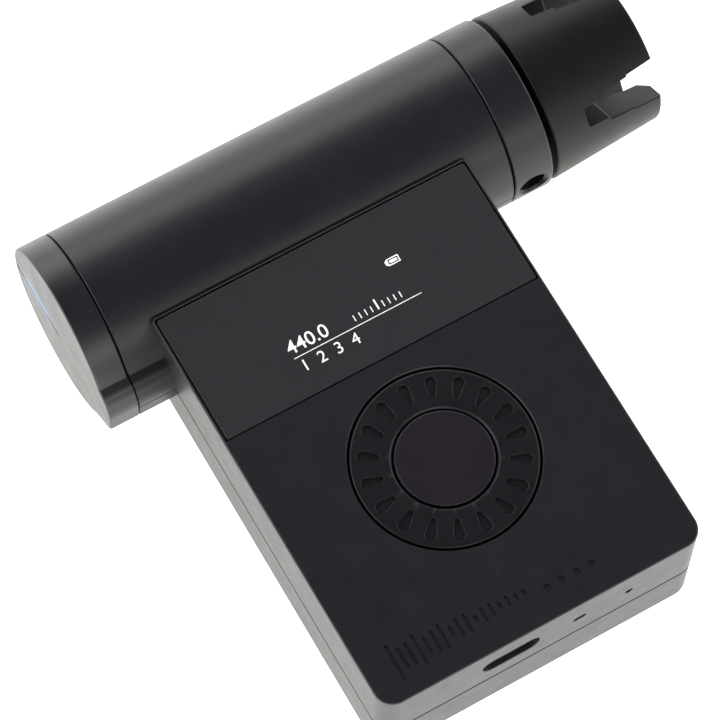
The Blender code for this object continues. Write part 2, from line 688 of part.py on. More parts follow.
def switch_plunger(material):
    low = SWITCH_LOW_Z + 2 * FIT_GAP + BUTTON_TRAVEL
    plunger = disc("switch_plunger", "Z", (DIAL_X, DIAL_Y), low, PLUNGER_TOP_Z, STEM_RADIUS, SMALL_SIDES)
    return finish(plunger, material, (DIAL_X, DIAL_Y, FACE_Z))


# ------------------------------------------------------------------ electronics
def board_edges():
    low = (BODY_LEFT + BODY_WALL + BOARD_MARGIN, END_Y + BODY_WALL + BOARD_MARGIN)
    high = (BODY_RIGHT - BODY_WALL - BOARD_MARGIN, PANEL_TOP_Y - BODY_WALL - 2 * BOARD_MARGIN)
    return low, high


def main_board(material):
    low, high = board_edges()
    board = block("main_board", (*low, BOARD_LOW_Z), (*high, BOARD_TOP_Z))
    below, above = BOARD_LOW_Z - PAST, BOARD_TOP_Z + PAST
    for place in case_screw_places():
        # A square notch from the board's corner clears the boss.
        reach = CASE_BOSS_RADIUS + 2 * FIT_GAP
        outward = (math.copysign(PAST * 3, place[0] - DIAL_X), math.copysign(PAST * 3, place[1] - DIAL_Y))
        xs = sorted((place[0] - math.copysign(reach, outward[0]), place[0] + outward[0]))
        ys = sorted((place[1] - math.copysign(reach, outward[1]), place[1] + outward[1]))
        cut(board, block("notch", (xs[0], ys[0], below), (xs[1], ys[1], above)))
    for place in board_screw_places():
        cut(board, disc("hole", "Z", place, below, above, BOARD_SCREW_RADIUS + FIT_GAP, SMALL_SIDES))
    return finish(board, material)


def usb_c_port(material):
    front = END_Y + BODY_WALL / 2
    outer = stadium((USB_X, USB_Z), USB_WIDTH, USB_HEIGHT)
    inner = stadium((USB_X, USB_Z), USB_WIDTH - 2 * USB_SHELL, USB_HEIGHT - 2 * USB_SHELL)
    port = prism("usb_c_port", "Y", front, front + USB_LENGTH, outer)
    back = front + USB_LENGTH - USB_SHELL * 2
    cut(port, prism("mouth", "Y", front - PAST, back, inner))
    tongue = (USB_WIDTH * 0.37, USB_HEIGHT * 0.11)
    fuse(port, block(
        "tongue",
        (USB_X - tongue[0], front + USB_SHELL * 2, USB_Z - tongue[1]),
        (USB_X + tongue[0], back + USB_SHELL, USB_Z + tongue[1]),
    ))
    return finish(port, material)


def board_part(name, x, y, size, material):
    """A plain block that stands on the main board, given its lower left corner."""
    low = BOARD_TOP_Z + FIT_GAP
    return finish(block(name, (x, y, low), (x + size[0], y + size[1], low + size[2])), material)


def microphone(material):
    y = END_Y + BODY_WALL + BOARD_MARGIN
    return board_part("microphone", MIC_X - MIC_SIZE[0] / 2, y, MIC_SIZE, material)


def status_light_pipe(material):
    margin = 2 * LIGHT_PIPE_MARGIN
    outline = stadium((LIGHT_X, USB_Z), LIGHT_WIDTH + margin, LIGHT_HEIGHT + margin)
    y = END_Y + BODY_WALL + FIT_GAP
    return finish(prism("status_light_pipe", "Y", y, y + LIGHT_PIPE_LENGTH, outline), material)


def radio_shield(material):
    x, y = DIAL_X - SHIELD_LEFT_OF_MIDDLE, PANEL_LOW_Y + SHIELD_ABOVE_PANEL_EDGE
    return board_part("radio_shield", x, y, SHIELD_SIZE, material)


def processor_chip(material):
    x, y = DIAL_X + CHIP_RIGHT_OF_MIDDLE, PANEL_LOW_Y + CHIP_ABOVE_PANEL_EDGE
    return board_part("processor_chip", x, y, CHIP_SIZE, material)


def battery_edges():
    low = (BODY_LEFT + BODY_WALL + BATTERY_MARGIN, END_Y + BODY_WALL + BATTERY_MARGIN / 2)
    high = (BODY_RIGHT - BODY_WALL - BATTERY_MARGIN, PANEL_TOP_Y - BODY_WALL - BATTERY_MARGIN / 2)
    return low, high


def battery(material):
    low, high = battery_edges()
    radius = 1.5 * MM
    outline = rounded(low, high, radius, radius, 3)
    return finish(prism("battery", "Z", BATTERY_Z, BATTERY_Z + BATTERY_THICKNESS, outline), material)


def battery_pad(material):
    low, high = battery_edges()
    inset = 3.0 * MM
    pad = block(
        "battery_pad",
        (low[0] + inset, low[1] + inset, PAD_Z),
        (high[0] - inset, high[1] - inset, PAD_Z + PAD_THICKNESS),
    )
    return finish(pad, material)


# ------------------------------------------------------------------ screws
def case_head_z():
    """Upper side of the case screws' heads, which lie well inside the rear cover's posts."""
    return BACK_Z + BODY_WALL + CASE_SCREW_HEAD_HEIGHT + FIT_GAP


def screw(name, axis, middle, seat, head_end, tip, radius, head_radius, material):
    """A pan-head screw: the head from its end to the seat, then the shank to the tip."""
    profile = [
        (head_end, 0), (head_end, head_radius * 0.8), ((head_end + seat) / 2, head_radius),
        (seat, head_radius), (seat, radius), (tip - math.copysign(radius / 2, tip - seat), radius), (tip, radius / 2), (tip, 0),
    ]
    piece = turned(name, axis, middle, profile, SMALL_SIDES)
    depth = (seat - head_end) * 0.6
    arm, half = head_radius * 0.62, head_radius * 0.16
    low, high = sorted((head_end - math.copysign(PAST, depth), head_end + depth))
    bar = rectangle((middle[0] - arm, middle[1] - half), (middle[0] + arm, middle[1] + half))
    cross = rectangle((middle[0] - half, middle[1] - arm), (middle[0] + half, middle[1] + arm))
    for outline in (bar, cross):
        cut(piece, prism("driver", axis, low, high, outline))
    return finish(piece, material)


def case_screws(material):
    seat = case_head_z()
    tip = FACE_Z - PANEL_FLOOR - 4 * FIT_GAP
    for number, place in enumerate(case_screw_places(), 1):
        screw(
            f"case_screw_{number}", "Z", place, seat, seat - CASE_SCREW_HEAD_HEIGHT, tip,
            CASE_SCREW_RADIUS, CASE_SCREW_HEAD, material,
        )


def board_screws(material):
    seat = BOARD_LOW_Z - FIT_GAP
    tip = FACE_Z - FACE_WALL - 4 * FIT_GAP
    for number, place in enumerate(board_screw_places(), 1):
        screw(
            f"board_screw_{number}", "Z", place, seat, seat - 0.9 * MM, tip,
            BOARD_SCREW_RADIUS, BOARD_SCREW_HEAD, material,
        )


# ------------------------------------------------------------------ end cap and its light
def end_cap(material):
    middle = (AXIS_Y, AXIS_Z)
    end = CASE_X - SEAM_GAP
    spigot = BARREL_INSIDE - FIT_GAP
    inside = spigot - 1.2 * MM
    profile = [
        (CAP_X, 0), (CAP_X, BARREL_RADIUS - RIM_CHAMFER), (CAP_X + RIM_CHAMFER, BARREL_RADIUS),
        (end, BARREL_RADIUS), (end, spigot), (CASE_X + 3.5 * MM, spigot),
        (CASE_X + 3.5 * MM, inside), (CAP_X + CAP_WALL, inside), (CAP_X + CAP_WALL, 0),
    ]
    cap = turned("end_cap", "X", middle, profile, BIG_SIDES)
    fuse(cap, prism("lug", "X", CAP_X, end, lug_outline()))
    half = SLIT_WIDTH / 2
    slit = block(
        "slit",
        (CAP_X - PAST, AXIS_Y, SEAM_Z - half),
        (CAP_X + SLIT_DEPTH, AXIS_Y + SLIT_LENGTH, SEAM_Z + half),
    )
    half = GUIDE_THICKNESS / 2 + FIT_GAP
    channel = block(
        "channel",
        (CAP_X + SLIT_DEPTH - SLIT_WIDTH / 2, AXIS_Y, SEAM_Z - half),
        (CAP_X + CAP_WALL + PAST / 2, AXIS_Y + inside - MM, SEAM_Z + half),
    )
    cut(cap, slit, channel)
    return finish(cap, material)


def light_guide(material):
    half = GUIDE_THICKNESS / 2
    reach = BARREL_INSIDE - FIT_GAP - 1.2 * MM - MM - FIT_GAP
    low = (CAP_X + SLIT_DEPTH, AXIS_Y + FIT_GAP, SEAM_Z - half)
    high = (CAP_X + CAP_WALL + 2.0 * MM, AXIS_Y + reach, SEAM_Z + half)
    return finish(block("light_guide", low, high), material)


def light_board(material):
    x = CAP_X + CAP_WALL + 3.6 * MM
    radius = BARREL_INSIDE - FIT_GAP - 1.2 * MM - FIT_GAP
    return finish(disc("light_board", "X", (AXIS_Y, AXIS_Z), x, x + 0.8 * MM, radius, MID_SIDES), material)


def light_emitter(material):
    x = CAP_X + CAP_WALL + 2.3 * MM
    half = 0.8 * MM
    middle = AXIS_Y + SLIT_LENGTH / 2
    emitter = block(
        "light_emitter", (x, middle - 2 * MM, SEAM_Z - half), (x + MM, middle + 2 * MM, SEAM_Z + half)
    )
    return finish(emitter, material)


def vibration_sensor(material):
    x = BODY_LEFT + BODY_WALL
    profile = [
        (x, 0), (x, 8.0 * MM), (x + 0.4 * MM, 8.0 * MM), (x + 0.4 * MM, 5.0 * MM), (x + 0.8 * MM, 5.0 * MM),
        (x + 0.8 * MM, 0),
    ]
    return finish(turned("vibration_sensor", "X", (AXIS_Y, AXIS_Z), profile, MID_SIDES), material)


# ------------------------------------------------------------------ motor
def motor_can(material):
    middle = (AXIS_Y, AXIS_Z)
    inside = MOTOR_RADIUS - CAN_WALL
    nose = ROTOR_SHAFT_RADIUS + FIT_GAP
    profile = [
        (MOTOR_X, inside), (MOTOR_X, MOTOR_RADIUS),
        (MOTOR_END_X - MM, MOTOR_RADIUS), (MOTOR_END_X, MOTOR_RADIUS - MM),
        (MOTOR_END_X, nose), (MOTOR_END_X - CAN_WALL, nose), (MOTOR_END_X - CAN_WALL, inside),
    ]
    return finish(turned("motor_can", "X", middle, profile, MID_SIDES), material)


def motor_end_bell(material):
    middle = (AXIS_Y, AXIS_Z)
    outside = MOTOR_RADIUS - CAN_WALL - FIT_GAP
    profile = [
        (MOTOR_X + FIT_GAP, ROTOR_SHAFT_RADIUS + RUN_GAP), (MOTOR_X - 1.2 * MM, ROTOR_SHAFT_RADIUS + RUN_GAP),
        (MOTOR_X - 1.2 * MM, 3.0 * MM), (MOTOR_X, 3.0 * MM), (MOTOR_X, outside), (MOTOR_X + 2 * MM, outside),
        (MOTOR_X + 2 * MM, ROTOR_SHAFT_RADIUS + RUN_GAP),
    ]
    return finish(turned("motor_end_bell", "X", middle, profile, MID_SIDES), material)


def motor_magnets(material):
    outside = MOTOR_RADIUS - CAN_WALL - FIT_GAP
    inside = outside - MAGNET_THICKNESS
    spread = math.radians(62)
    for number, facing in enumerate((math.pi / 2, -math.pi / 2), 1):
        outline = arc((AXIS_Y, AXIS_Z), outside, facing - spread, facing + spread, 10)
        outline += arc((AXIS_Y, AXIS_Z), inside, facing + spread, facing - spread, 10)
        low, high = MOTOR_X + 3 * MM, MOTOR_END_X - CAN_WALL - 2 * MM
        finish(prism(f"motor_magnet_{number}", "X", low, high, outline), material)


def rotor(material):
    """Armature, shaft and the first sun gear in one piece."""
    middle = (AXIS_Y, AXIS_Z)
    armature = MOTOR_RADIUS - CAN_WALL - FIT_GAP - MAGNET_THICKNESS - MOVE_GAP
    low, high = MOTOR_X + 4 * MM, MOTOR_END_X - CAN_WALL - 3 * MM
    shaft = ROTOR_SHAFT_RADIUS
    profile = [
        (MOTOR_X - MM, 0), (MOTOR_X - MM, shaft), (low, shaft), (low, armature), (high, armature),
        (high, shaft), (PLANET_A_X + MM, shaft), (PLANET_A_X + MM, 0),
    ]
    piece = turned("rotor", "X", middle, profile, MID_SIDES)
    fuse(piece, sun_gear(PLANET_A_X))
    return finish(piece, material, (MOTOR_X, *middle))


# ------------------------------------------------------------------ gearbox
TIP, ROOT = 0.8, 1.15               # tooth height above and below the pitch circle, in modules
TIP_SHARE, ROOT_SHARE = 0.20, 0.50  # tooth thickness there, as a share of the pitch


def gear_outline(teeth, middle, first):
    pitch_radius = MODULE * teeth / 2
    points = toothed(
        teeth, pitch_radius + TIP * MODULE, pitch_radius - ROOT * MODULE, TIP_SHARE, ROOT_SHARE, first
    )
    return [(middle[0] + a, middle[1] + b) for a, b in points]


def sun_gear(x):
    return prism("sun", "X", x, x + GEAR_FACE, gear_outline(SUN_TEETH, (AXIS_Y, AXIS_Z), 0))


def orbit_places():
    step = 2 * math.pi / PLANET_COUNT
    return [
        (AXIS_Y + PLANET_ORBIT * math.cos(i * step), AXIS_Z + PLANET_ORBIT * math.sin(i * step), i * step)
        for i in range(PLANET_COUNT)
    ]


def planets(stage, x, material):
    for number, (y, z, angle) in enumerate(orbit_places(), 1):
        gear = prism(f"planet_{stage}_{number}", "X", x, x + GEAR_FACE, gear_outline(PLANET_TEETH, (y, z), angle))
        cut(gear, disc("bore", "X", (y, z), x - PAST, x + GEAR_FACE + PAST, PIN_RADIUS + RUN_GAP, SMALL_SIDES))
        finish(gear, material, (x, y, z))


def carrier_plate(name, x):
    """A disc with one pin for each planet, reaching back through the planets."""
    radius = PLANET_ORBIT + 2 * PIN_RADIUS
    plate = disc(name, "X", (AXIS_Y, AXIS_Z), x, x + CARRIER_THICKNESS, radius, MID_SIDES)
    for y, z, _ in orbit_places():
        fuse(plate, disc("pin", "X", (y, z), x - STAGE_GAP - GEAR_FACE, x + SINK, PIN_RADIUS, SMALL_SIDES))
    return plate


def carrier_a(material):
    """First carrier, with the second sun gear on its front."""
    plate = carrier_plate("carrier_a", CARRIER_A_X)
    boss = disc(
        "boss", "X", (AXIS_Y, AXIS_Z), CARRIER_A_X + SINK, PLANET_B_X + SINK, MODULE * (SUN_TEETH / 2 - ROOT), SMALL_SIDES
    )
    fuse(plate, boss, sun_gear(PLANET_B_X))
    return finish(plate, material, (CARRIER_A_X, AXIS_Y, AXIS_Z))


def carrier_b(material):
    """Second carrier, with the flatted output shaft that the peg holder sits on."""
    plate = carrier_plate("carrier_b", CARRIER_B_X)
    end = HUB_X + SHAFT_IN_HOLDER
    fuse(plate, disc("shaft", "X", (AXIS_Y, AXIS_Z), CARRIER_B_X + SINK, end, SHAFT_RADIUS, MID_SIDES))
    flat = AXIS_Y - SHAFT_RADIUS + SHAFT_FLAT
    low = (HUB_X, flat - PAST, AXIS_Z - 2 * SHAFT_RADIUS)
    cut(plate, block("flat", low, (end + PAST, flat, AXIS_Z + 2 * SHAFT_RADIUS)))
    return finish(plate, material, (CARRIER_B_X, AXIS_Y, AXIS_Z))


def gear_screw_places():
    orbit = GEARBOX_RADIUS - RING_WALL / 2
    angles = [GEAR_SCREW_TURN + 2 * math.pi * i / 3 for i in range(3)]
    return [(AXIS_Y + orbit * math.cos(angle), AXIS_Z + orbit * math.sin(angle)) for angle in angles]


def gearbox_ring(material):
    middle = (AXIS_Y, AXIS_Z)
    end = PLATE_X - FIT_GAP
    ring = disc("gearbox_ring", "X", middle, RING_X, end, GEARBOX_RADIUS, BIG_SIDES)
    pitch_radius = MODULE * RING_TEETH / 2
    teeth = toothed(
        RING_TEETH, pitch_radius - TIP * MODULE, pitch_radius + ROOT * MODULE, TIP_SHARE, ROOT_SHARE,
        math.pi / RING_TEETH,
    )
    inside = [(middle[0] + a, middle[1] + b) for a, b in teeth]
    cut(ring, prism("teeth", "X", RING_X - PAST, end + PAST, inside))
    for place in gear_screw_places():
        cut(ring, disc("thread", "X", place, end - 3 * MM, end + PAST, GEAR_SCREW_RADIUS + FIT_GAP / 2, 12))
    return finish(ring, material)


def gearbox_front_plate(material):
    middle = (AXIS_Y, AXIS_Z)
    bore = SHAFT_RADIUS + RUN_GAP + BUSH_WALL + FIT_GAP
    plate = tube("gearbox_front_plate", "X", middle, PLATE_X, PLATE_END_X, bore, GEARBOX_RADIUS, MID_SIDES)
    for place in gear_screw_places():
        hole = disc("hole", "X", place, PLATE_X - PAST, PLATE_END_X + PAST, GEAR_SCREW_RADIUS + FIT_GAP / 2, 12)
        seat = disc("seat", "X", place, PLATE_END_X - MM, PLATE_END_X + PAST, GEAR_SCREW_HEAD + FIT_GAP / 2, 12)
        cut(plate, hole, seat)
    return finish(plate, material)


def gearbox_screws(material):
    seat = PLATE_END_X - MM + FIT_GAP / 2
    for number, place in enumerate(gear_screw_places(), 1):
        screw(
            f"gearbox_screw_{number}", "X", place, seat, seat + 0.6 * MM, PLATE_X - 2.5 * MM,
            GEAR_SCREW_RADIUS, GEAR_SCREW_HEAD, material,
        )


def output_bushing(material):
    middle = (AXIS_Y, AXIS_Z)
    inside = SHAFT_RADIUS + RUN_GAP
    outside = inside + BUSH_WALL
    flange_x = PLATE_END_X + FIT_GAP
    profile = [
        (PLATE_X, inside), (PLATE_X, outside), (flange_x, outside), (flange_x, outside + MM),
        (flange_x + MM, outside + MM), (flange_x + MM, inside),
    ]
    return finish(turned("output_bushing", "X", middle, profile, MID_SIDES), material)


def thrust_washer(material):
    low = PLATE_END_X + 2 * FIT_GAP + MM
    washer = tube(
        "thrust_washer", "X", (AXIS_Y, AXIS_Z), low, HUB_X - MOVE_GAP, SHAFT_RADIUS + FIT_GAP, HUB_RADIUS - MM
    )
    return finish(washer, material)


# ------------------------------------------------------------------ collar and peg holder
def collar(material):
    middle = (AXIS_Y, AXIS_Z)
    start = CASE_END_X + SEAM_GAP
    spigot = BARREL_INSIDE - FIT_GAP
    profile = [
        (start - COLLAR_SPIGOT, spigot), (start, spigot), (start, BARREL_RADIUS),
        (COLLAR_END_X - RIM_CHAMFER, BARREL_RADIUS), (COLLAR_END_X, BARREL_RADIUS - RIM_CHAMFER),
        (COLLAR_END_X, COLLAR_INSIDE), (start - COLLAR_SPIGOT, COLLAR_INSIDE),
    ]
    ring = turned("collar", "X", middle, profile, BIG_SIDES)
    outside, inside = AXIS_Y - BARREL_RADIUS, AXIS_Y - COLLAR_INSIDE
    hole = circle(COLLAR_HOLE_RADIUS, 24, (COLLAR_HOLE_X, AXIS_Z))
    rim = circle(COLLAR_HOLE_RADIUS + RIM_CHAMFER, 24, (COLLAR_HOLE_X, AXIS_Z))
    wide = circle(COLLAR_HOLE_RADIUS + RIM_CHAMFER + PAST, 24, (COLLAR_HOLE_X, AXIS_Z))
    cut(ring, prism("hole", "Y", outside - PAST, inside + PAST, hole))
    cut(ring, loft("rim", "Y", [(outside - PAST, wide), (outside, rim), (outside + RIM_CHAMFER, hole)]))
    return finish(ring, material)


def slot_outline():
    """Half of it lies each side of the slot's middle: three steps, each a little wider outwards."""
    upper = []
    reach = PAST
    for back, inner_half, outer_half in SLOT_STEPS:
        if not upper:
            upper.append((HOLDER_END_X + reach, outer_half))
        else:
            upper.append((upper[-1][0], outer_half))
        upper.append((HOLDER_END_X - back, inner_half))
    return [(x, width) for x, width in upper] + [(x, -width) for x, width in reversed(upper)]


def peg_holder(material):
    middle = (AXIS_Y, AXIS_Z)
    bore = SHAFT_RADIUS + FIT_GAP
    bottom_x = HOLDER_END_X - SOCKET_DEPTH
    profile = [
        (HUB_X, bore), (HUB_X, HUB_RADIUS), (HOLDER_X, HUB_RADIUS),
        (HOLDER_X, HOLDER_BASE_RADIUS - RIM_CHAMFER), (HOLDER_X + RIM_CHAMFER, HOLDER_BASE_RADIUS),
        (HOLDER_END_X - RIM_CHAMFER, HOLDER_END_RADIUS), (HOLDER_END_X, HOLDER_END_RADIUS - RIM_CHAMFER),
        (HOLDER_END_X, SOCKET_RADIUS + SOCKET_CHAMFER), (HOLDER_END_X - SOCKET_CHAMFER, SOCKET_RADIUS),
        (bottom_x, SOCKET_RADIUS), (bottom_x, 0), (SHAFT_BORE_END_X, 0), (SHAFT_BORE_END_X, bore),
    ]
    holder = turned("peg_holder", "X", middle, profile, BIG_SIDES)
    for turn in (SLOT_TURN, SLOT_TURN + math.pi / 2):
        bar = prism("slot", "Z", -2 * HOLDER_BASE_RADIUS, 2 * HOLDER_BASE_RADIUS, slot_outline())
        spin = Matrix.Translation((0, AXIS_Y, AXIS_Z)) @ Matrix.Rotation(-turn, 4, "X")
        bar.data.transform(spin)
        cut(holder, bar)
    hole = circle(SET_SCREW_RADIUS + FIT_GAP, SMALL_SIDES, (COLLAR_HOLE_X, AXIS_Z))
    cut(holder, prism("thread", "Y", AXIS_Y - HUB_RADIUS - PAST, AXIS_Y, hole))
    return finish(holder, material, (HOLDER_X, *middle))


def set_screw(material):
    inner = AXIS_Y - SHAFT_RADIUS + SHAFT_FLAT - FIT_GAP
    outer = AXIS_Y - HUB_RADIUS + FIT_GAP
    shank = circle(SET_SCREW_RADIUS, SMALL_SIDES, (COLLAR_HOLE_X, AXIS_Z))
    piece = prism("set_screw", "Y", outer, inner, shank)
    key = circle(SET_SCREW_RADIUS / 2, 6, (COLLAR_HOLE_X, AXIS_Z))
    cut(piece, prism("key", "Y", outer - PAST, outer + 1.5 * MM, key))
    return finish(piece, material, (COLLAR_HOLE_X, AXIS_Y, AXIS_Z))


# ------------------------------------------------------------------ assembly
def clear_scene():
    for item in list(bpy.data.objects):
        bpy.data.objects.remove(item)


def build():
    clear_scene()
    looks = make_looks()
    front_shell(looks["case"])
    rear_cover(looks["case"])
    display_window(looks["panel"])
    display_module(looks["chip"])

    dial_ring(looks["dial"])
    encoder_ring(looks["steel"])
    dial_retainer(looks["nylon"])
    select_button(looks["dial"])
    select_switch(looks["steel"])
    switch_plunger(looks["nylon"])

    main_board(looks["board"])
    usb_c_port(looks["steel"])
    microphone(looks["steel"])
    status_light_pipe(looks["clear"])
    radio_shield(looks["steel"])
    processor_chip(looks["chip"])
    battery(looks["cell"])
    battery_pad(looks["foam"])
    case_screws(looks["steel"])
    board_screws(looks["steel"])

    end_cap(looks["case"])
    light_guide(looks["clear"])
    light_board(looks["board"])
    light_emitter(looks["nylon"])
    vibration_sensor(looks["brass"])

    motor_can(looks["steel"])
    motor_end_bell(looks["nylon"])
    motor_magnets(looks["chip"])
    rotor(looks["steel"])
    gearbox_ring(looks["steel"])
    planets("a", PLANET_A_X, looks["nylon"])
    planets("b", PLANET_B_X, looks["steel"])
    carrier_a(looks["steel"])
    carrier_b(looks["steel"])
    gearbox_front_plate(looks["steel"])
    gearbox_screws(looks["steel"])
    output_bushing(looks["brass"])
    thrust_washer(looks["nylon"])

    collar(looks["case"])
    peg_holder(looks["case"])
    set_screw(looks["steel"])


build()
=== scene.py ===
"""Looks of the motorised string tuner: fine covers, dial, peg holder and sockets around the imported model."""
import json
import math

import bmesh
import bpy
from mathutils import Matrix, Vector


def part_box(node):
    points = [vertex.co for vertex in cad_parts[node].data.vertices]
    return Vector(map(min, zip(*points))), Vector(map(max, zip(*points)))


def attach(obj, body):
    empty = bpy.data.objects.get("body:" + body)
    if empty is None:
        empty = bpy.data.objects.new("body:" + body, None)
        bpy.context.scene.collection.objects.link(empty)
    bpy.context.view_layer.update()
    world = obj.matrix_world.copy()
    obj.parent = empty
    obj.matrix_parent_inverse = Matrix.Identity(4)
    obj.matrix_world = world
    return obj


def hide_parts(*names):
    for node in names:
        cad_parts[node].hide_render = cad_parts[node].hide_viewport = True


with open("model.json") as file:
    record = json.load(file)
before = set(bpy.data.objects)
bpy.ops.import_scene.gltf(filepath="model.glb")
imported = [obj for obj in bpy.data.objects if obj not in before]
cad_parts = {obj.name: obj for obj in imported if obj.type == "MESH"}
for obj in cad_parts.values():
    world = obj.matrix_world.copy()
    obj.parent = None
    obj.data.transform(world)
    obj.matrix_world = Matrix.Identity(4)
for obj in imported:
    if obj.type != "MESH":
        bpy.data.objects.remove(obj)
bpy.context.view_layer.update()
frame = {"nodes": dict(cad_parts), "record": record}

MM = 0.001

# ------------------------------------------------------------------ sizes read from the model
WINDOW_LOW, WINDOW_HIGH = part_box("display_window")
COLLAR_LOW, COLLAR_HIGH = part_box("collar")
CAP_LOW, CAP_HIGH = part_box("end_cap")
SHELL_LOW, SHELL_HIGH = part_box("front_shell")
HOLDER_LOW, HOLDER_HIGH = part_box("peg_holder")
DIAL_LOW, DIAL_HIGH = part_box("dial_ring")
BUTTON_LOW, BUTTON_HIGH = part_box("select_button")
USB_LOW, USB_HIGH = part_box("usb_c_port")
MOUNTS = {mount["name"]: mount for mount in frame["record"]["mounts"]}

SEAM_GAP = 0.25 * MM
SEAM_EASE = 0.18 * MM
SIGN_LOW = 0.002 * MM       # how far the display's signs stand off the panel
SIGN_TOP = 0.018 * MM
SCREW_HEAD_HEIGHT = 1.5 * MM
SCREW_POST_RADIUS = 3.1 * MM
SLOT_EASE = 0.16 * MM
CASE_DARK, CASE_LIGHT = (0.0232, 0.0195, 0.0250), (0.0272, 0.0230, 0.0292)
FIT_GAP = 0.30 * MM
MOVE_GAP = 0.40 * MM
PAST = 2.0 * MM
SINK = 0.5 * MM

PANEL_LIP = 0.4 * MM
PANEL_THICKNESS = WINDOW_HIGH.z - WINDOW_LOW.z
PANEL_FLOOR = 3.2 * MM
BODY_WALL = 1.6 * MM
FACE_WALL = 2.0 * MM
BODY_CORNER = 3.0 * MM
TOP_CORNER = 0.7 * MM
FACE_ROUND = 0.35 * MM
BACK_ROUND = 1.4 * MM
BARREL_WALL = 1.5 * MM
RIM_ROUND = 0.15 * MM

BODY_LEFT = WINDOW_LOW.x - PANEL_LIP - SEAM_GAP
BODY_RIGHT = WINDOW_HIGH.x + PANEL_LIP + SEAM_GAP
PANEL_TOP_Y = WINDOW_HIGH.y + SEAM_GAP
PANEL_LOW_Y = WINDOW_LOW.y - SEAM_GAP
END_Y = MOUNTS["usb_end_face"]["pos_m"][1]
BACK_Z = MOUNTS["back_rest"]["pos_m"][2]
FACE_Z = WINDOW_HIGH.z
SEAM_Z = SHELL_LOW.z - SEAM_GAP / 2
CASE_X, CASE_END_X = SHELL_LOW.x, SHELL_HIGH.x
CAP_X = CAP_LOW.x
COLLAR_END_X = COLLAR_HIGH.x
HOLDER_END_X = HOLDER_HIGH.x
AXIS_Y = (COLLAR_LOW.y + COLLAR_HIGH.y) / 2
AXIS_Z = (COLLAR_LOW.z + COLLAR_HIGH.z) / 2
AXIS = (AXIS_Y, AXIS_Z)
BARREL_RADIUS = (COLLAR_HIGH.y - COLLAR_LOW.y) / 2
BARREL_INSIDE = BARREL_RADIUS - BARREL_WALL

DIAL_X = (DIAL_LOW.x + DIAL_HIGH.x) / 2
DIAL_Y = (DIAL_LOW.y + DIAL_HIGH.y) / 2
DIAL = (DIAL_X, DIAL_Y)
DIAL_FLANGE_RADIUS = (DIAL_HIGH.x - DIAL_LOW.x) / 2
DIAL_RADIUS = DIAL_FLANGE_RADIUS - 1.5 * MM
DIAL_INSIDE = 7.5 * MM
DIAL_BEVEL = 0.36 * MM
MARK_COUNT = 18
MARK_INNER_RADIUS = 9.1 * MM
MARK_OUTER_RADIUS = 12.6 * MM
MARK_INNER_WIDTH = 1.0 * MM
MARK_OUTER_WIDTH = 1.9 * MM
MARK_DEPTH = 0.36 * MM
BUTTON_RADIUS = 7.2 * MM
BUTTON_FLANGE_RADIUS = (BUTTON_HIGH.x - BUTTON_LOW.x) / 2
STEM_RADIUS = 1.8 * MM
FLANGE_THICKNESS = 0.7 * MM

USB_X = (USB_LOW.x + USB_HIGH.x) / 2
USB_Z = (USB_LOW.z + USB_HIGH.z) / 2
USB_WIDTH = USB_HIGH.x - USB_LOW.x
USB_HEIGHT = USB_HIGH.z - USB_LOW.z
LIGHT_X = BODY_LEFT + 31.9 * MM
MIC_X = BODY_LEFT + 40.0 * MM

HOLDER_X = COLLAR_END_X + 0.9 * MM
HOLDER_BASE_RADIUS = (HOLDER_HIGH.y - HOLDER_LOW.y) / 2
HOLDER_END_RADIUS = 12.4 * MM
HUB_RADIUS = 8.3 * MM
SOCKET_RADIUS = 7.5 * MM
SOCKET_DEPTH = 11.2 * MM
SOCKET_CHAMFER = 1.5 * MM
SLOT_TURN = math.radians(33.5)
SLOT_STEPS = (
    (4.7 * MM, 3.05 * MM, 3.55 * MM),
    (9.0 * MM, 2.40 * MM, 2.80 * MM),
    (12.7 * MM, 1.60 * MM, 1.80 * MM),
)
SHAFT_BORE = 3.3 * MM
SHAFT_BORE_LENGTH = 9.8 * MM
COLLAR_HOLE_X = (CASE_END_X + COLLAR_END_X) / 2
COLLAR_HOLE_RADIUS = 2.1 * MM
COLLAR_SPIGOT = 2.6 * MM
COLLAR_INSIDE = HUB_RADIUS + 0.7 * MM

SLIT_WIDTH = 0.5 * MM
SLIT_LENGTH = 13.0 * MM
SLIT_DEPTH = 0.8 * MM
CAP_WALL = 2.0 * MM
GUIDE_THICKNESS = 1.0 * MM

BAR_COUNT = 17
BAR_PITCH = 1.3 * MM
BAR_WIDTH = 0.5 * MM
BAR_TALLEST = 5.6 * MM
BARS_FROM_LEFT = 4.8 * MM
BARS_FROM_END = 5.5 * MM
DOT_COUNT = 4
DOT_PITCH = 2.4 * MM
DOT_RADIUS = 0.55 * MM
DOTS_FROM_LEFT = 28.8 * MM

LUG_REACH = 2.15 * MM
LUG_TOP = 5.0 * MM
LUG_BOTTOM = -7.5 * MM

ROUND_SIDES = 160
HOLE_SIDES = 48


# ------------------------------------------------------------------ outlines
def circle(radius, sides, middle=(0.0, 0.0)):
    step = 2 * math.pi / sides
    return [
        (middle[0] + radius * math.cos(i * step), middle[1] + radius * math.sin(i * step))
        for i in range(sides)
    ]


def arc(middle, radius, start, end, steps):
    points = []
    for i in range(steps + 1):
        angle = start + (end - start) * i / steps
        points.append((middle[0] + radius * math.cos(angle), middle[1] + radius * math.sin(angle)))
    return points


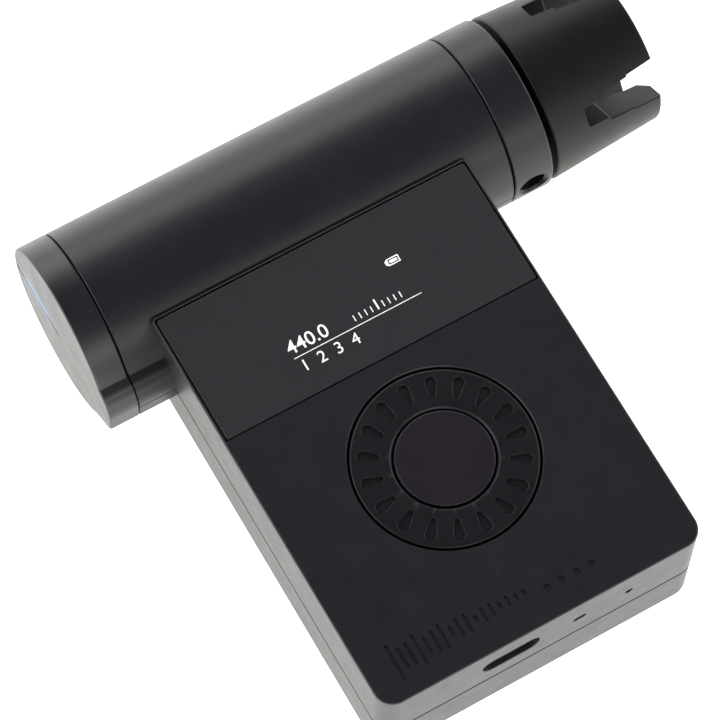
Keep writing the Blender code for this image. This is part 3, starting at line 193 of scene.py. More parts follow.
def rounded(low, high, low_radius, high_radius, steps=10):
    """A rectangle whose two lower corners and two upper corners have their own radii."""
    quarter = math.pi / 2
    corners = (
        (high[0] - low_radius, low[1] + low_radius, low_radius, 3),
        (high[0] - high_radius, high[1] - high_radius, high_radius, 0),
        (low[0] + high_radius, high[1] - high_radius, high_radius, 1),
        (low[0] + low_radius, low[1] + low_radius, low_radius, 2),
    )
    points = []
    for x, y, radius, turn in corners:
        points += arc((x, y), radius, turn * quarter, (turn + 1) * quarter, steps)
    return points


def stadium(middle, width, height, steps=12):
    radius = height / 2
    reach = width / 2 - radius
    half = math.pi / 2
    right = arc((middle[0] + reach, middle[1]), radius, -half, half, steps)
    left = arc((middle[0] - reach, middle[1]), radius, half, 3 * half, steps)
    return right + left


def soften(points, radius, steps=5):
    """Replace each corner of a closed outline with a short curve that starts and ends radius away."""
    result = []
    count = len(points)
    for i, point in enumerate(points):
        here = Vector(point)
        before = Vector(points[i - 1]) - here
        after = Vector(points[(i + 1) % count]) - here
        reach = min(radius, before.length * 0.45, after.length * 0.45)
        start = here + before.normalized() * reach
        end = here + after.normalized() * reach
        for k in range(steps + 1):
            t = k / steps
            result.append(tuple(start * (1 - t) ** 2 + here * (2 * t * (1 - t)) + end * t ** 2))
    return result


def quarter_round(radius, steps):
    """Pairs of (how far in from the side, how far down from the top) round an edge, top first."""
    pairs = []
    for k in range(steps + 1):
        angle = math.pi / 2 * k / steps
        pairs.append((radius * (1 - math.sin(angle)), radius * (1 - math.cos(angle))))
    return pairs


# ------------------------------------------------------------------ solids
AXES = {
    "X": Matrix(((0, 0, 1), (1, 0, 0), (0, 1, 0))),
    "Y": Matrix(((1, 0, 0), (0, 0, 1), (0, 1, 0))),
    "Z": Matrix.Identity(3),
}


def solid(name, vertices, faces):
    mesh = bpy.data.meshes.new(name)
    work = bmesh.new()
    made = [work.verts.new(point) for point in vertices]
    for face in faces:
        work.faces.new([made[i] for i in face])
    bmesh.ops.recalc_face_normals(work, faces=work.faces)
    work.to_mesh(mesh)
    work.free()
    piece = bpy.data.objects.new(name, mesh)
    bpy.context.scene.collection.objects.link(piece)
    return piece


def loft(name, axis, sections):
    """Skin over outlines of equal count, each (distance along the axis, outline across it)."""
    turn = AXES[axis]
    count = len(sections[0][1])
    vertices = [turn @ Vector((a, b, height)) for height, outline in sections for a, b in outline]
    faces = [list(range(count)), list(range((len(sections) - 1) * count, len(sections) * count))]
    for level in range(len(sections) - 1):
        start = level * count
        for i in range(count):
            j = (i + 1) % count
            faces.append([start + i, start + j, start + count + j, start + count + i])
    return solid(name, vertices, faces)


def prism(name, axis, low, high, outline):
    return loft(name, axis, [(low, outline), (high, outline)])


def block(name, low, high):
    outline = [(low[0], low[1]), (high[0], low[1]), (high[0], high[1]), (low[0], high[1])]
    return prism(name, "Z", low[2], high[2], outline)


def turned(name, axis, middle, profile, sides=ROUND_SIDES):
    """Turn a closed profile of (distance along the axis, radius) points about the axis."""
    turn = AXES[axis]
    vertices = []
    rings = []
    for along, radius in profile:
        start = len(vertices)
        points = [middle] if radius < 1e-9 else circle(radius, sides, middle)
        vertices += [turn @ Vector((a, b, along)) for a, b in points]
        rings.append([start + i for i in range(len(points))])
    faces = []
    for here, after in zip(rings, rings[1:] + rings[:1]):
        for i in range(sides):
            j = (i + 1) % sides
            corners = [here[i % len(here)], here[j % len(here)], after[j % len(after)], after[i % len(after)]]
            corners = list(dict.fromkeys(corners))
            if len(corners) > 2:
                faces.append(corners)
    return solid(name, vertices, faces)


def disc(name, axis, middle, low, high, radius, sides=ROUND_SIDES):
    return prism(name, axis, low, high, circle(radius, sides, middle))


def join(name, pieces):
    """One mesh from several that don't touch, so that one Boolean cuts with all of them."""
    work = bmesh.new()
    for piece in pieces:
        work.from_mesh(piece.data)
        bpy.data.objects.remove(piece)
    mesh = bpy.data.meshes.new(name)
    work.to_mesh(mesh)
    work.free()
    whole = bpy.data.objects.new(name, mesh)
    bpy.context.scene.collection.objects.link(whole)
    return whole


def bake(piece):
    """Apply a piece's modifiers."""
    bpy.context.view_layer.update()
    whole = piece.evaluated_get(bpy.context.evaluated_depsgraph_get())
    mesh = bpy.data.meshes.new_from_object(whole)
    piece.modifiers.clear()
    piece.data = mesh
    return piece


def combine(piece, tool, operation):
    modifier = piece.modifiers.new(operation, "BOOLEAN")
    modifier.operation = operation
    modifier.object = tool
    bake(piece)
    bpy.data.objects.remove(tool)


def cut(piece, *tools):
    for tool in tools:
        combine(piece, tool, "DIFFERENCE")


def fuse(piece, *others):
    for other in others:
        combine(piece, other, "UNION")


def round_edges(piece, width, segments=2, degrees=32):
    bevel = piece.modifiers.new("bevel", "BEVEL")
    bevel.width = width
    bevel.segments = segments
    bevel.limit_method = "ANGLE"
    bevel.angle_limit = math.radians(degrees)
    bevel.use_clamp_overlap = False
    return bake(piece)


def dress(piece, material, body, replaced=None, degrees=30):
    """Shade a finished piece, give it its material and tie it to the model."""
    mesh = piece.data
    mesh.name = piece.name
    mesh.materials.clear()
    mesh.materials.append(material)
    mesh.shade_smooth()
    mesh.set_sharp_from_angle(angle=math.radians(degrees))
    weighted = piece.modifiers.new("weighted", "WEIGHTED_NORMAL")
    weighted.keep_sharp = True
    weighted.weight = 100
    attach(piece, body)
    if replaced:
        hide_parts(replaced)
    return piece


# ------------------------------------------------------------------ materials
class Look:
    """A material's node tree, with short calls for the nodes used here."""

    def __init__(self, name):
        self.material = bpy.data.materials.new(name)
        self.material.use_nodes = True
        self.tree = self.material.node_tree
        self.shader = self.tree.nodes["Principled BSDF"]
        self.place = self.node("ShaderNodeTexCoord").outputs["Object"]

    def node(self, kind, **values):
        node = self.tree.nodes.new(kind)
        for key, value in values.items():
            setattr(node, key, value)
        return node

    def link(self, source, target):
        self.tree.links.new(source, target)

    def stretched(self, factors):
        mapping = self.node("ShaderNodeMapping")
        mapping.inputs["Scale"].default_value = factors
        self.link(self.place, mapping.inputs["Vector"])
        return mapping.outputs["Vector"]

    def noise(self, size, detail=3.0, roughness=0.55, vector=None):
        """Noise whose features are about size metres across."""
        node = self.node("ShaderNodeTexNoise")
        node.inputs["Scale"].default_value = 1.0 / size
        node.inputs["Detail"].default_value = detail
        node.inputs["Roughness"].default_value = roughness
        self.link(vector or self.place, node.inputs["Vector"])
        return node.outputs["Fac"]

    def spread(self, source, low, high, from_low=0.3, from_high=0.7):
        node = self.node("ShaderNodeMapRange")
        limits = {"From Min": from_low, "From Max": from_high, "To Min": low, "To Max": high}
        for key, value in limits.items():
            node.inputs[key].default_value = value
        self.link(source, node.inputs["Value"])
        return node.outputs["Result"]

    def blend(self, factor, first, second):
        node = self.node("ShaderNodeMix", data_type="RGBA")
        self.link(factor, node.inputs["Factor"])
        for socket, value in ((node.inputs[6], first), (node.inputs[7], second)):
            if isinstance(value, tuple):
                socket.default_value = (*value, 1.0)
            else:
                self.link(value, socket)
        return node.outputs[2]

    def bump(self, source, height, strength=1.0, normal=None):
        node = self.node("ShaderNodeBump")
        node.inputs["Distance"].default_value = height
        node.inputs["Strength"].default_value = strength
        self.link(source, node.inputs["Height"])
        if normal:
            self.link(normal, node.inputs["Normal"])
        return node.outputs["Normal"]

    def edges(self, low=0.52, high=0.60):
        """0 on flats, rising to 1 on convex edges."""
        pointiness = self.node("ShaderNodeNewGeometry").outputs["Pointiness"]
        return self.spread(pointiness, 0.0, 1.0, low, high)

    def put(self, **sources):
        for key, source in sources.items():
            socket = self.shader.inputs[key.replace("_", " ")]
            if hasattr(source, "is_linked"):
                self.link(source, socket)
            else:
                socket.default_value = source
        return self.material


def dark_plastic(name, dark, light, roughness, grain, grain_height, specular=0.5, coat=0.0):
    """Moulded plastic: fine spark-eroded grain, slight cloudiness, handling marks and rubbed edges."""
    look = Look(name)
    clouds = look.noise(9 * MM, detail=4)
    fine = look.noise(grain, detail=2, roughness=0.7)
    broad = look.noise(grain * 6, detail=2)
    tone = look.blend(look.spread(clouds, 0, 1), dark, light)
    rubbed = tuple(channel * 1.3 + 0.001 for channel in light)
    tone = look.blend(look.spread(look.edges(), 0.0, 0.25, 0.0, 1.0), tone, rubbed)
    marks = look.noise(3.5 * MM, detail=6, roughness=0.7)
    normal = look.bump(fine, grain_height)
    normal = look.bump(broad, grain_height * 0.6, normal=normal)
    return look.put(
        Base_Color=tone,
        Roughness=look.spread(marks, roughness - 0.035, roughness + 0.045),
        Normal=normal,
        Specular_IOR_Level=specular,
        Coat_Weight=coat,
        Coat_Roughness=0.25,
    )


def cap_plastic_with_painted_glow():
    """The case plastic, with the soft blue spill of the lit slit painted on the cap's flat end as an emitted
    glow.
    """
    look = Look("cap_plastic_painted_glow")
    parts = look.node("ShaderNodeSeparateXYZ")
    look.link(look.place, parts.inputs["Vector"])

    def closeness(output, middle, reach):
        away = look.node("ShaderNodeMath", operation="SUBTRACT")
        away.inputs[1].default_value = middle
        look.link(parts.outputs[output], away.inputs[0])
        size = look.node("ShaderNodeMath", operation="ABSOLUTE")
        look.link(away.outputs[0], size.inputs[0])
        near = look.node("ShaderNodeMapRange", interpolation_type="SMOOTHERSTEP")
        limits = {"From Min": 0.0, "From Max": reach, "To Min": 1.0, "To Max": 0.0}
        for key, value in limits.items():
            near.inputs[key].default_value = value
        look.link(size.outputs[0], near.inputs["Value"])
        return near.outputs["Result"]

    # Painted glow: the cap's end face emits blue near the slit, standing in for the slit's spill of light on it.
    near = (closeness("X", CAP_X, 0.6 * MM), closeness("Y", AXIS_Y + SLIT_LENGTH / 2, 7.5 * MM),
            closeness("Z", SEAM_Z + 0.6 * MM, 2.6 * MM))
    painted_glow_amount = near[0]
    for factor in near[1:]:
        product = look.node("ShaderNodeMath", operation="MULTIPLY")
        look.link(painted_glow_amount, product.inputs[0])
        look.link(factor, product.inputs[1])
        painted_glow_amount = product.outputs[0]
    tone = look.blend(look.spread(look.noise(9 * MM), 0, 1), CASE_DARK, CASE_LIGHT)
    return look.put(
        Base_Color=tone, Roughness=look.spread(look.noise(3.5 * MM, detail=6), 0.34, 0.42),
        Normal=look.bump(look.noise(0.16 * MM, detail=2), 0.0035 * MM),
        Emission_Color=look.blend(painted_glow_amount, (0.0, 0.0, 0.0), (0.10, 0.22, 0.42)), Emission_Strength=1.0,
        Specular_IOR_Level=0.7,
    )


def plain_plastic(name, dark, light, roughness, grain=0.25 * MM):
    look = Look(name)
    tone = look.blend(look.spread(look.noise(4 * MM), 0, 1), dark, light)
    rough = look.spread(look.noise(2 * MM, detail=5), roughness - 0.06, roughness + 0.06)
    return look.put(Base_Color=tone, Roughness=rough, Normal=look.bump(look.noise(grain), 0.004 * MM))


def metal(name, dark, light, roughness, along=(1.0, 1.0, 1.0), size=0.3 * MM):
    """Machined or drawn metal: stretched fine lines in roughness and height, and a slightly uneven tone."""
    look = Look(name)
    lines = look.noise(size, detail=4, roughness=0.65, vector=look.stretched(along))
    tone = look.blend(look.spread(look.noise(3 * MM, detail=4), 0, 1), dark, light)
    return look.put(
        Base_Color=tone,
        Metallic=1.0,
        Roughness=look.spread(lines, roughness - 0.08, roughness + 0.10),
        Normal=look.bump(lines, 0.003 * MM),
    )


def solder_mask(name):
    """Green board with darker copper-free patches and fine track lines."""
    look = Look(name)
    brick = look.node("ShaderNodeTexBrick", offset=0.35)
    brick.inputs["Scale"].default_value = 1.0 / (4 * MM)
    brick.inputs["Mortar Size"].default_value = 0.06
    brick.inputs["Color1"].default_value = (0.010, 0.085, 0.035, 1)
    brick.inputs["Color2"].default_value = (0.014, 0.105, 0.045, 1)
    brick.inputs["Mortar"].default_value = (0.030, 0.190, 0.080, 1)
    look.link(look.place, brick.inputs["Vector"])
    patches = look.spread(look.noise(6 * MM), 0, 0.4)
    tone = look.blend(patches, brick.outputs["Color"], (0.006, 0.05, 0.02))
    return look.put(
        Base_Color=tone, Roughness=look.spread(look.noise(1.5 * MM), 0.30, 0.45),
        Normal=look.bump(brick.outputs["Fac"], 0.02 * MM),
    )


def foam(name):
    look = Look(name)
    cells = look.node("ShaderNodeTexVoronoi")
    cells.inputs["Scale"].default_value = 1.0 / (0.35 * MM)
    look.link(look.place, cells.inputs["Vector"])
    # Painted shade: each cell is darker towards its middle, where the bump sinks a pit, and lighter on the cell
    # walls.
    walls = look.spread(cells.outputs["Distance"], 0, 1, 0, 0.6)
    tone = look.blend(walls, (0.03, 0.03, 0.03), (0.09, 0.09, 0.09))
    height = look.bump(cells.outputs["Distance"], 0.12 * MM)
    return look.put(Base_Color=tone, Roughness=0.95, Normal=height)


def glow(name, colour, strength, size):
    """Frosted light guide that is lit from behind, a little brighter in the middle of each patch."""
    look = Look(name)
    patches = look.noise(size, detail=2)
    tone = look.blend(look.spread(patches, 0, 1), tuple(c * 0.75 for c in colour), colour)
    return look.put(
        Base_Color=tone, Emission_Color=tone, Emission_Strength=strength,
        Roughness=look.spread(patches, 0.18, 0.30), Normal=look.bump(patches, 0.01 * MM),
    )


def make_looks():
    return {
        "case": dark_plastic(
            "case_plastic", CASE_DARK, CASE_LIGHT, 0.38, 0.16 * MM, 0.0035 * MM
        ),
        "cap": cap_plastic_with_painted_glow(),
        "barrel": dark_plastic(
            "holder_plastic", (0.0110, 0.0100, 0.0110), (0.0145, 0.0135, 0.0145),
            0.42, 0.20 * MM, 0.0050 * MM, 0.32,
        ),
        "panel": dark_plastic(
            "display_panel", (0.0460, 0.0435, 0.0490), (0.0500, 0.0475, 0.0530), 0.32, 0.30 * MM, 0.0010 * MM
        ),
        "dial": dark_plastic(
            "dial_plastic", (0.0150, 0.0115, 0.0160), (0.0180, 0.0140, 0.0190), 0.36, 0.18 * MM, 0.0025 * MM
        ),
        "button": dark_plastic(
            "button_plastic", (0.0235, 0.0185, 0.0255), (0.0275, 0.0220, 0.0300), 0.36, 0.18 * MM, 0.0025 * MM
        ),
        "steel": metal("steel", (0.50, 0.50, 0.51), (0.62, 0.62, 0.63), 0.34, (1.0, 6.0, 6.0)),
        "screw": metal("screw_steel", (0.16, 0.16, 0.17), (0.24, 0.24, 0.25), 0.38, (5.0, 5.0, 1.0)),
        "brass": metal("brass", (0.62, 0.44, 0.19), (0.76, 0.57, 0.28), 0.30, (1.0, 5.0, 5.0)),
        "gold": metal("contact_gold", (0.80, 0.55, 0.22), (0.90, 0.66, 0.30), 0.25, (4.0, 1.0, 4.0)),
        "socket": metal("socket_steel", (0.36, 0.36, 0.37), (0.46, 0.46, 0.47), 0.36, (5.0, 1.0, 5.0)),
        "board": solder_mask("board_green"),
        "chip": plain_plastic("chip_black", (0.010, 0.010, 0.011), (0.018, 0.018, 0.019), 0.45),
        "cell": plain_plastic("cell_wrap", (0.24, 0.26, 0.30), (0.30, 0.32, 0.36), 0.32),
        "foam": foam("foam_grey"),
        "nylon": plain_plastic("nylon_natural", (0.62, 0.60, 0.54), (0.72, 0.70, 0.64), 0.45),
        "clear": glow("guide_blue", (0.30, 0.62, 1.0), 2.2, 1.2 * MM),
        "unlit": plain_plastic("guide_unlit", (0.015, 0.015, 0.017), (0.03, 0.03, 0.033), 0.25),
        "ink": glow("display_white", (0.93, 0.95, 0.96), 0.75, 0.4 * MM),
    }


# ------------------------------------------------------------------ case covers
def lug_outline():
    nose = AXIS_Y - BARREL_RADIUS - LUG_REACH
    inner = AXIS_Y - BARREL_INSIDE + BARREL_WALL
    top, bottom = AXIS_Z + LUG_TOP, AXIS_Z + LUG_BOTTOM
    corners = [
        (inner, top + 0.9 * MM),
        (nose + 1.25 * MM, top - 1.1 * MM),
        (nose + 0.08 * MM, top - 4.4 * MM),
        (nose + 0.15 * MM, bottom + 3.0 * MM),
        (inner, bottom - 0.8 * MM),
    ]
    return soften(corners, 1.1 * MM, 8)


def body_outline(inset):
    low = (BODY_LEFT + inset, END_Y + inset)
    high = (BODY_RIGHT - inset, PANEL_TOP_Y + PANEL_LIP - inset)
    smallest = 0.08 * MM
    return rounded(low, high, max(BODY_CORNER - inset, smallest), max(TOP_CORNER - inset, smallest), 12)


def case_block():
    sections = [(BACK_Z + down, body_outline(inset)) for inset, down in quarter_round(BACK_ROUND, 8)]
    below, above = SEAM_Z - SEAM_GAP / 2, SEAM_Z + SEAM_GAP / 2
    sections += [
        (below - SEAM_EASE, body_outline(0)), (below, body_outline(SEAM_EASE)),
        (above, body_outline(SEAM_EASE)), (above + SEAM_EASE, body_outline(0)),
    ]
    top_edge = reversed(quarter_round(FACE_ROUND, 4))
    sections += [(FACE_Z - down, body_outline(inset)) for inset, down in top_edge]
    whole = loft("case_block", "Z", sections)
    ends = [(CASE_X + RIM_ROUND, BARREL_RADIUS), (CASE_END_X - RIM_ROUND, BARREL_RADIUS)]
    rim = BARREL_RADIUS - RIM_ROUND
    profile = [(CASE_X, 0), (CASE_X, rim), *ends, (CASE_END_X, rim), (CASE_END_X, 0)]
    fuse(whole, turned("barrel", "X", AXIS, profile))
    fuse(whole, prism("lug", "X", CASE_X, BODY_LEFT + BODY_WALL / 2, lug_outline()))
    return whole


def case_hollow():
    wall = BODY_WALL
    corner = BODY_CORNER - wall
    low = (BODY_LEFT + wall, END_Y + wall)
    inside_z = BACK_Z + wall
    main = rounded(low, (BODY_RIGHT - wall, PANEL_LOW_Y - FACE_WALL), corner, corner, 6)
    third = (WINDOW_LOW.y - END_Y) / 2
    under = rounded((low[0], low[1] + third), (BODY_RIGHT - wall, PANEL_TOP_Y - wall), 0.3 * MM, 0.3 * MM, 2)
    whole = prism("hollow", "Z", inside_z, FACE_Z - FACE_WALL, main)
    fuse(whole, prism("under", "Z", inside_z, FACE_Z - PANEL_FLOOR, under))
    fuse(whole, disc("bore", "X", AXIS, CASE_X - PAST, CASE_END_X + PAST, BARREL_INSIDE))
    return whole


def half_space(name, low_z, high_z):
    reach = 0.2
    return block(name, (-reach, -reach, low_z), (reach, reach, high_z))


def flared(name, axis, outline, wide, start, depth, end):
    """A cutter that is wider at the surface than it is below it, for a chamfered opening."""
    outside = start - math.copysign(PAST, end - start)
    return loft(name, axis, [(outside, wide), (start, wide), (start + depth, outline), (end, outline)])


def face_marks():
    """Cutters for a sunk row of shrinking bars and four string dots near the face's lower edge."""
    low, high = FACE_Z - 0.16 * MM, FACE_Z + PAST
    tools = []
    for number in range(BAR_COUNT):
        x = BODY_LEFT + BARS_FROM_LEFT + number * BAR_PITCH
        swing = 0.35 + 0.65 * abs(math.cos(number * 1.1))
        half = max(BAR_TALLEST / 2 * swing * (1 - number / (BAR_COUNT + 3)), 0.5 * MM)
        middle = END_Y + BARS_FROM_END
        tools.append(prism(f"bar_{number}", "Z", low, high, rounded(
            (x - BAR_WIDTH / 2, middle - half), (x + BAR_WIDTH / 2, middle + half), 0.2 * MM, 0.2 * MM, 4
        )))
    for number in range(DOT_COUNT):
        place = (BODY_LEFT + DOTS_FROM_LEFT + number * DOT_PITCH, END_Y + BARS_FROM_END - 1.0 * MM)
        tools.append(disc(f"dot_{number}", "Z", place, low, high, DOT_RADIUS, 24))
    return join("face_marks", tools)


def front_cover(looks):
    shell = case_block()
    shell.name = "front_cover"
    cut(shell, case_hollow(), half_space("lower", -0.05, SEAM_Z + SEAM_GAP / 2))

    low = (BODY_LEFT + PANEL_LIP, PANEL_LOW_Y)
    high = (BODY_RIGHT - PANEL_LIP, PANEL_TOP_Y)
    rebate = rounded(low, high, 0.2 * MM, TOP_CORNER / 2, 6)
    cut(shell, prism("rebate", "Z", FACE_Z - PANEL_THICKNESS - FIT_GAP, FACE_Z + PAST, rebate))

    hole = DIAL_RADIUS + MOVE_GAP
    cut(shell, turned("dial_hole", "Z", DIAL, [
        (FACE_Z + PAST, 0), (FACE_Z + PAST, hole + 0.14 * MM), (FACE_Z, hole + 0.14 * MM),
        (FACE_Z - 0.14 * MM, hole),
        (FACE_Z - FACE_WALL - PAST, hole), (FACE_Z - FACE_WALL - PAST, 0),
    ]))
    inside = DIAL_FLANGE_RADIUS + MOVE_GAP
    wall_low = FACE_Z - 6.0 * MM
    fuse(shell, turned("dial_wall", "Z", DIAL, [
        (wall_low, inside), (wall_low, inside + 1.2 * MM), (FACE_Z - FACE_WALL + SINK, inside + 1.2 * MM),
        (FACE_Z - FACE_WALL + SINK, inside),
    ]))

    end = END_Y + BODY_WALL + PAST / 2
    margin, rim = 0.6 * MM, 0.35 * MM
    openings = [
        (stadium((USB_X, USB_Z), USB_WIDTH + margin, USB_HEIGHT + margin),
         stadium((USB_X, USB_Z), USB_WIDTH + margin + rim, USB_HEIGHT + margin + rim)),
        (stadium((LIGHT_X, USB_Z), 2.1 * MM, 1.0 * MM), stadium((LIGHT_X, USB_Z), 2.4 * MM, 1.3 * MM)),
        (circle(0.55 * MM, 24, (MIC_X, USB_Z)), circle(0.68 * MM, 24, (MIC_X, USB_Z))),
    ]
    for outline, wide in openings:
        cut(shell, flared("opening", "Y", outline, wide, END_Y, (wide[0][0] - outline[0][0]) + 0.1 * MM, end))
    cut(shell, face_marks())
    return dress(shell, looks["case"], "housing", "front_shell")


def screw_places():
    found = []
    for number in range(1, 5):
        low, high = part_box(f"case_screw_{number}")
        found.append(((low.x + high.x) / 2, (low.y + high.y) / 2))
    return found


def back_cover(looks):
    cover = case_block()
    cover.name = "back_cover"
    cut(cover, case_hollow(), half_space("upper", SEAM_Z - SEAM_GAP / 2, 0.1))
    head_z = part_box("case_screw_1")[0].z + SCREW_HEAD_HEIGHT
    posts, bores = [], []
    for place in screw_places():
        low, high = BACK_Z + SINK, SEAM_Z - SEAM_GAP
        posts.append(disc("post", "Z", place, low, high, SCREW_POST_RADIUS, HOLE_SIDES))
        wide, bore = 2.2 * MM, 1.3 * MM
        bores.append(turned("bore", "Z", place, [
            (BACK_Z - PAST, 0), (BACK_Z - PAST, wide + 0.25 * MM), (BACK_Z, wide + 0.25 * MM),
            (BACK_Z + 0.25 * MM, wide), (head_z + FIT_GAP, wide), (head_z + FIT_GAP, bore),
            (SEAM_Z + PAST, bore),
            (SEAM_Z + PAST, 0),
        ], HOLE_SIDES))
    fuse(cover, join("posts", posts))
    cut(cover, join("bores", bores))
    return dress(cover, looks["case"], "housing", "rear_cover")


# ------------------------------------------------------------------ display
def display_panel(looks):
    low = (WINDOW_LOW.x, WINDOW_LOW.y)
    high = (WINDOW_HIGH.x, WINDOW_HIGH.y)

    def outline(inset):
        near, far = (low[0] + inset, low[1] + inset), (high[0] - inset, high[1] - inset)
        return rounded(near, far, 0.3 * MM - inset, 0.45 * MM - inset, 8)

    sections = [(WINDOW_LOW.z, outline(0))]
    sections += [(FACE_Z - down, outline(inset)) for inset, down in reversed(quarter_round(0.12 * MM, 4))]
    panel = loft("display_panel", "Z", sections)
    return dress(panel, looks["panel"], "housing", "display_window")


def bake_text(piece):
    bpy.context.view_layer.update()
    mesh = bpy.data.meshes.new_from_object(piece.evaluated_get(bpy.context.evaluated_depsgraph_get()))
    mesh.transform(piece.matrix_world)
    solid_text = bpy.data.objects.new(piece.name + "_mesh", mesh)
    bpy.context.scene.collection.objects.link(solid_text)
    bpy.data.objects.remove(piece)
    return solid_text


def flat_piece(name, outline, looks):
    piece = prism(name, "Z", FACE_Z + SIGN_LOW, FACE_Z + SIGN_TOP, outline)
    return dress(piece, looks["ink"], "housing")


def display_signs(looks):
    left = BODY_LEFT + 14.95 * MM
    line_y = PANEL_TOP_Y - 15.0 * MM
    flat_piece("display_line", rounded(
        (left, line_y - 0.06 * MM), (left + 21.0 * MM, line_y + 0.06 * MM), 0.03 * MM, 0.03 * MM, 2
    ), looks)
    upper = (
        ("display_reading", "440.0", 3.0 * MM, left - 0.2 * MM, line_y + 0.75 * MM, 0.012 * MM),
        ("display_strings", "1  2  3  4", 2.6 * MM, left + 0.3 * MM, line_y - 2.45 * MM, 0.0),
    )
    for name, text, size, x, y, thicken in upper:
        curve = bpy.data.curves.new(name, "FONT")
        curve.body = text
        curve.size = size
        curve.extrude = 0.008 * MM
        curve.offset = thicken
        source = bpy.data.objects.new(name + "_source", curve)
        source.location = (x, y, FACE_Z + 0.010 * MM)
        bpy.context.scene.collection.objects.link(source)
        piece = bake_text(source)
        piece.name = name
        dress(piece, looks["ink"], "housing")
    tick_left = left + 10.6 * MM
    for number in range(9):
        tall = 1.7 if number == 4 else 1.0
        x = tick_left + number * 0.95 * MM
        wide = 0.13 if number == 4 else 0.08
        flat_piece(f"display_tick_{number + 1}", rounded(
            (x - wide * MM, line_y + 0.75 * MM), (x + wide * MM, line_y + (0.75 + tall) * MM),
            0.04 * MM, 0.04 * MM, 2,
        ), looks)
    battery_sign(looks)


def battery_sign(looks):
    x, y = BODY_LEFT + 33.6 * MM, PANEL_TOP_Y - 9.2 * MM
    frame_piece = prism("display_battery", "Z", FACE_Z + SIGN_LOW, FACE_Z + SIGN_TOP, [
        (x + 0.45 * MM, y), (x + 2.3 * MM, y), (x + 2.3 * MM, y + 1.15 * MM), (x + 0.45 * MM, y + 1.15 * MM),
        (x, y + 0.85 * MM), (x, y + 0.30 * MM),
    ])
    cut(frame_piece, prism("inside", "Z", FACE_Z - MM, FACE_Z + MM, rounded(
        (x + 0.5 * MM, y + 0.17 * MM), (x + 2.12 * MM, y + 0.98 * MM), 0.15 * MM, 0.15 * MM, 3
    )))
    dress(frame_piece, looks["ink"], "housing")
    flat_piece("display_charge", rounded(
        (x + 0.68 * MM, y + 0.34 * MM), (x + 1.94 * MM, y + 0.81 * MM), 0.12 * MM, 0.12 * MM, 3
    ), looks)


# ------------------------------------------------------------------ dial and button
def mark_cutter(angle):
    """A sunk mark with sloping sides and rounded ends, wider towards the dial's rim."""
    def outline(inset):
        outer_half, inner_half = MARK_OUTER_WIDTH / 2 - inset, MARK_INNER_WIDTH / 2 - inset
        outer_middle = (MARK_OUTER_RADIUS - MARK_OUTER_WIDTH / 2, 0)
        inner_middle = (MARK_INNER_RADIUS + MARK_INNER_WIDTH / 2, 0)
        lean = math.asin((MARK_OUTER_WIDTH - MARK_INNER_WIDTH) / 2 / (outer_middle[0] - inner_middle[0]))
        half = math.pi / 2 + lean
        points = arc(outer_middle, outer_half, -half, half, 12)
        points += arc(inner_middle, inner_half, half, 2 * math.pi - half, 8)
        turn = Matrix.Rotation(angle, 2)
        return [tuple(turn @ Vector(point) + Vector(DIAL)) for point in points]

    return loft("mark", "Z", [
        (FACE_Z - MARK_DEPTH, outline(0.16 * MM)), (FACE_Z - MARK_DEPTH * 0.8, outline(0.06 * MM)),
        (FACE_Z - 0.05 * MM, outline(0.03 * MM)), (FACE_Z, outline(-0.02 * MM)),
        (FACE_Z + PAST, outline(-0.02 * MM)),
    ])


def dial(looks):
    flange_top = FACE_Z - FACE_WALL - FIT_GAP
    flange_low = flange_top - FLANGE_THICKNESS
    under = FACE_Z - FACE_WALL
    wide = BUTTON_FLANGE_RADIUS + MOVE_GAP
    profile = [(FACE_Z - down, DIAL_RADIUS - inset) for inset, down in quarter_round(0.28 * MM, 5)]
    profile += [
        (flange_top, DIAL_RADIUS), (flange_top, DIAL_FLANGE_RADIUS), (flange_low, DIAL_FLANGE_RADIUS),
        (flange_low, wide), (under, wide), (under, DIAL_INSIDE), (FACE_Z - DIAL_BEVEL, DIAL_INSIDE),
        (FACE_Z - DIAL_BEVEL * 0.82, DIAL_INSIDE + 0.06 * MM),
        (FACE_Z - 0.08 * MM, DIAL_INSIDE + DIAL_BEVEL - 0.06 * MM),
        (FACE_Z, DIAL_INSIDE + DIAL_BEVEL + 0.06 * MM),
    ]
    ring = turned("dial", "Z", DIAL, profile)
    tools = [mark_cutter(2 * math.pi * (index + 0.5) / MARK_COUNT) for index in range(MARK_COUNT)]
    cut(ring, join("marks", tools))
    return dress(ring, looks["dial"], "dial", "dial_ring", 38)


def button(looks):
    flange_top = FACE_Z - FACE_WALL - FIT_GAP
    flange_low = flange_top - FLANGE_THICKNESS
    profile = [(FACE_Z - 0.02 * MM, 0), (FACE_Z - 0.02 * MM, BUTTON_RADIUS * 0.5)]
    profile += [(FACE_Z - down, BUTTON_RADIUS - inset) for inset, down in quarter_round(0.22 * MM, 5)]
    profile += [
        (flange_top, BUTTON_RADIUS), (flange_top, BUTTON_FLANGE_RADIUS), (flange_low, BUTTON_FLANGE_RADIUS),
        (flange_low, STEM_RADIUS), (BUTTON_LOW.z, STEM_RADIUS), (BUTTON_LOW.z, 0),
    ]
    piece = turned("button", "Z", DIAL, profile)
    return dress(piece, looks["button"], "select", "select_button", 38)


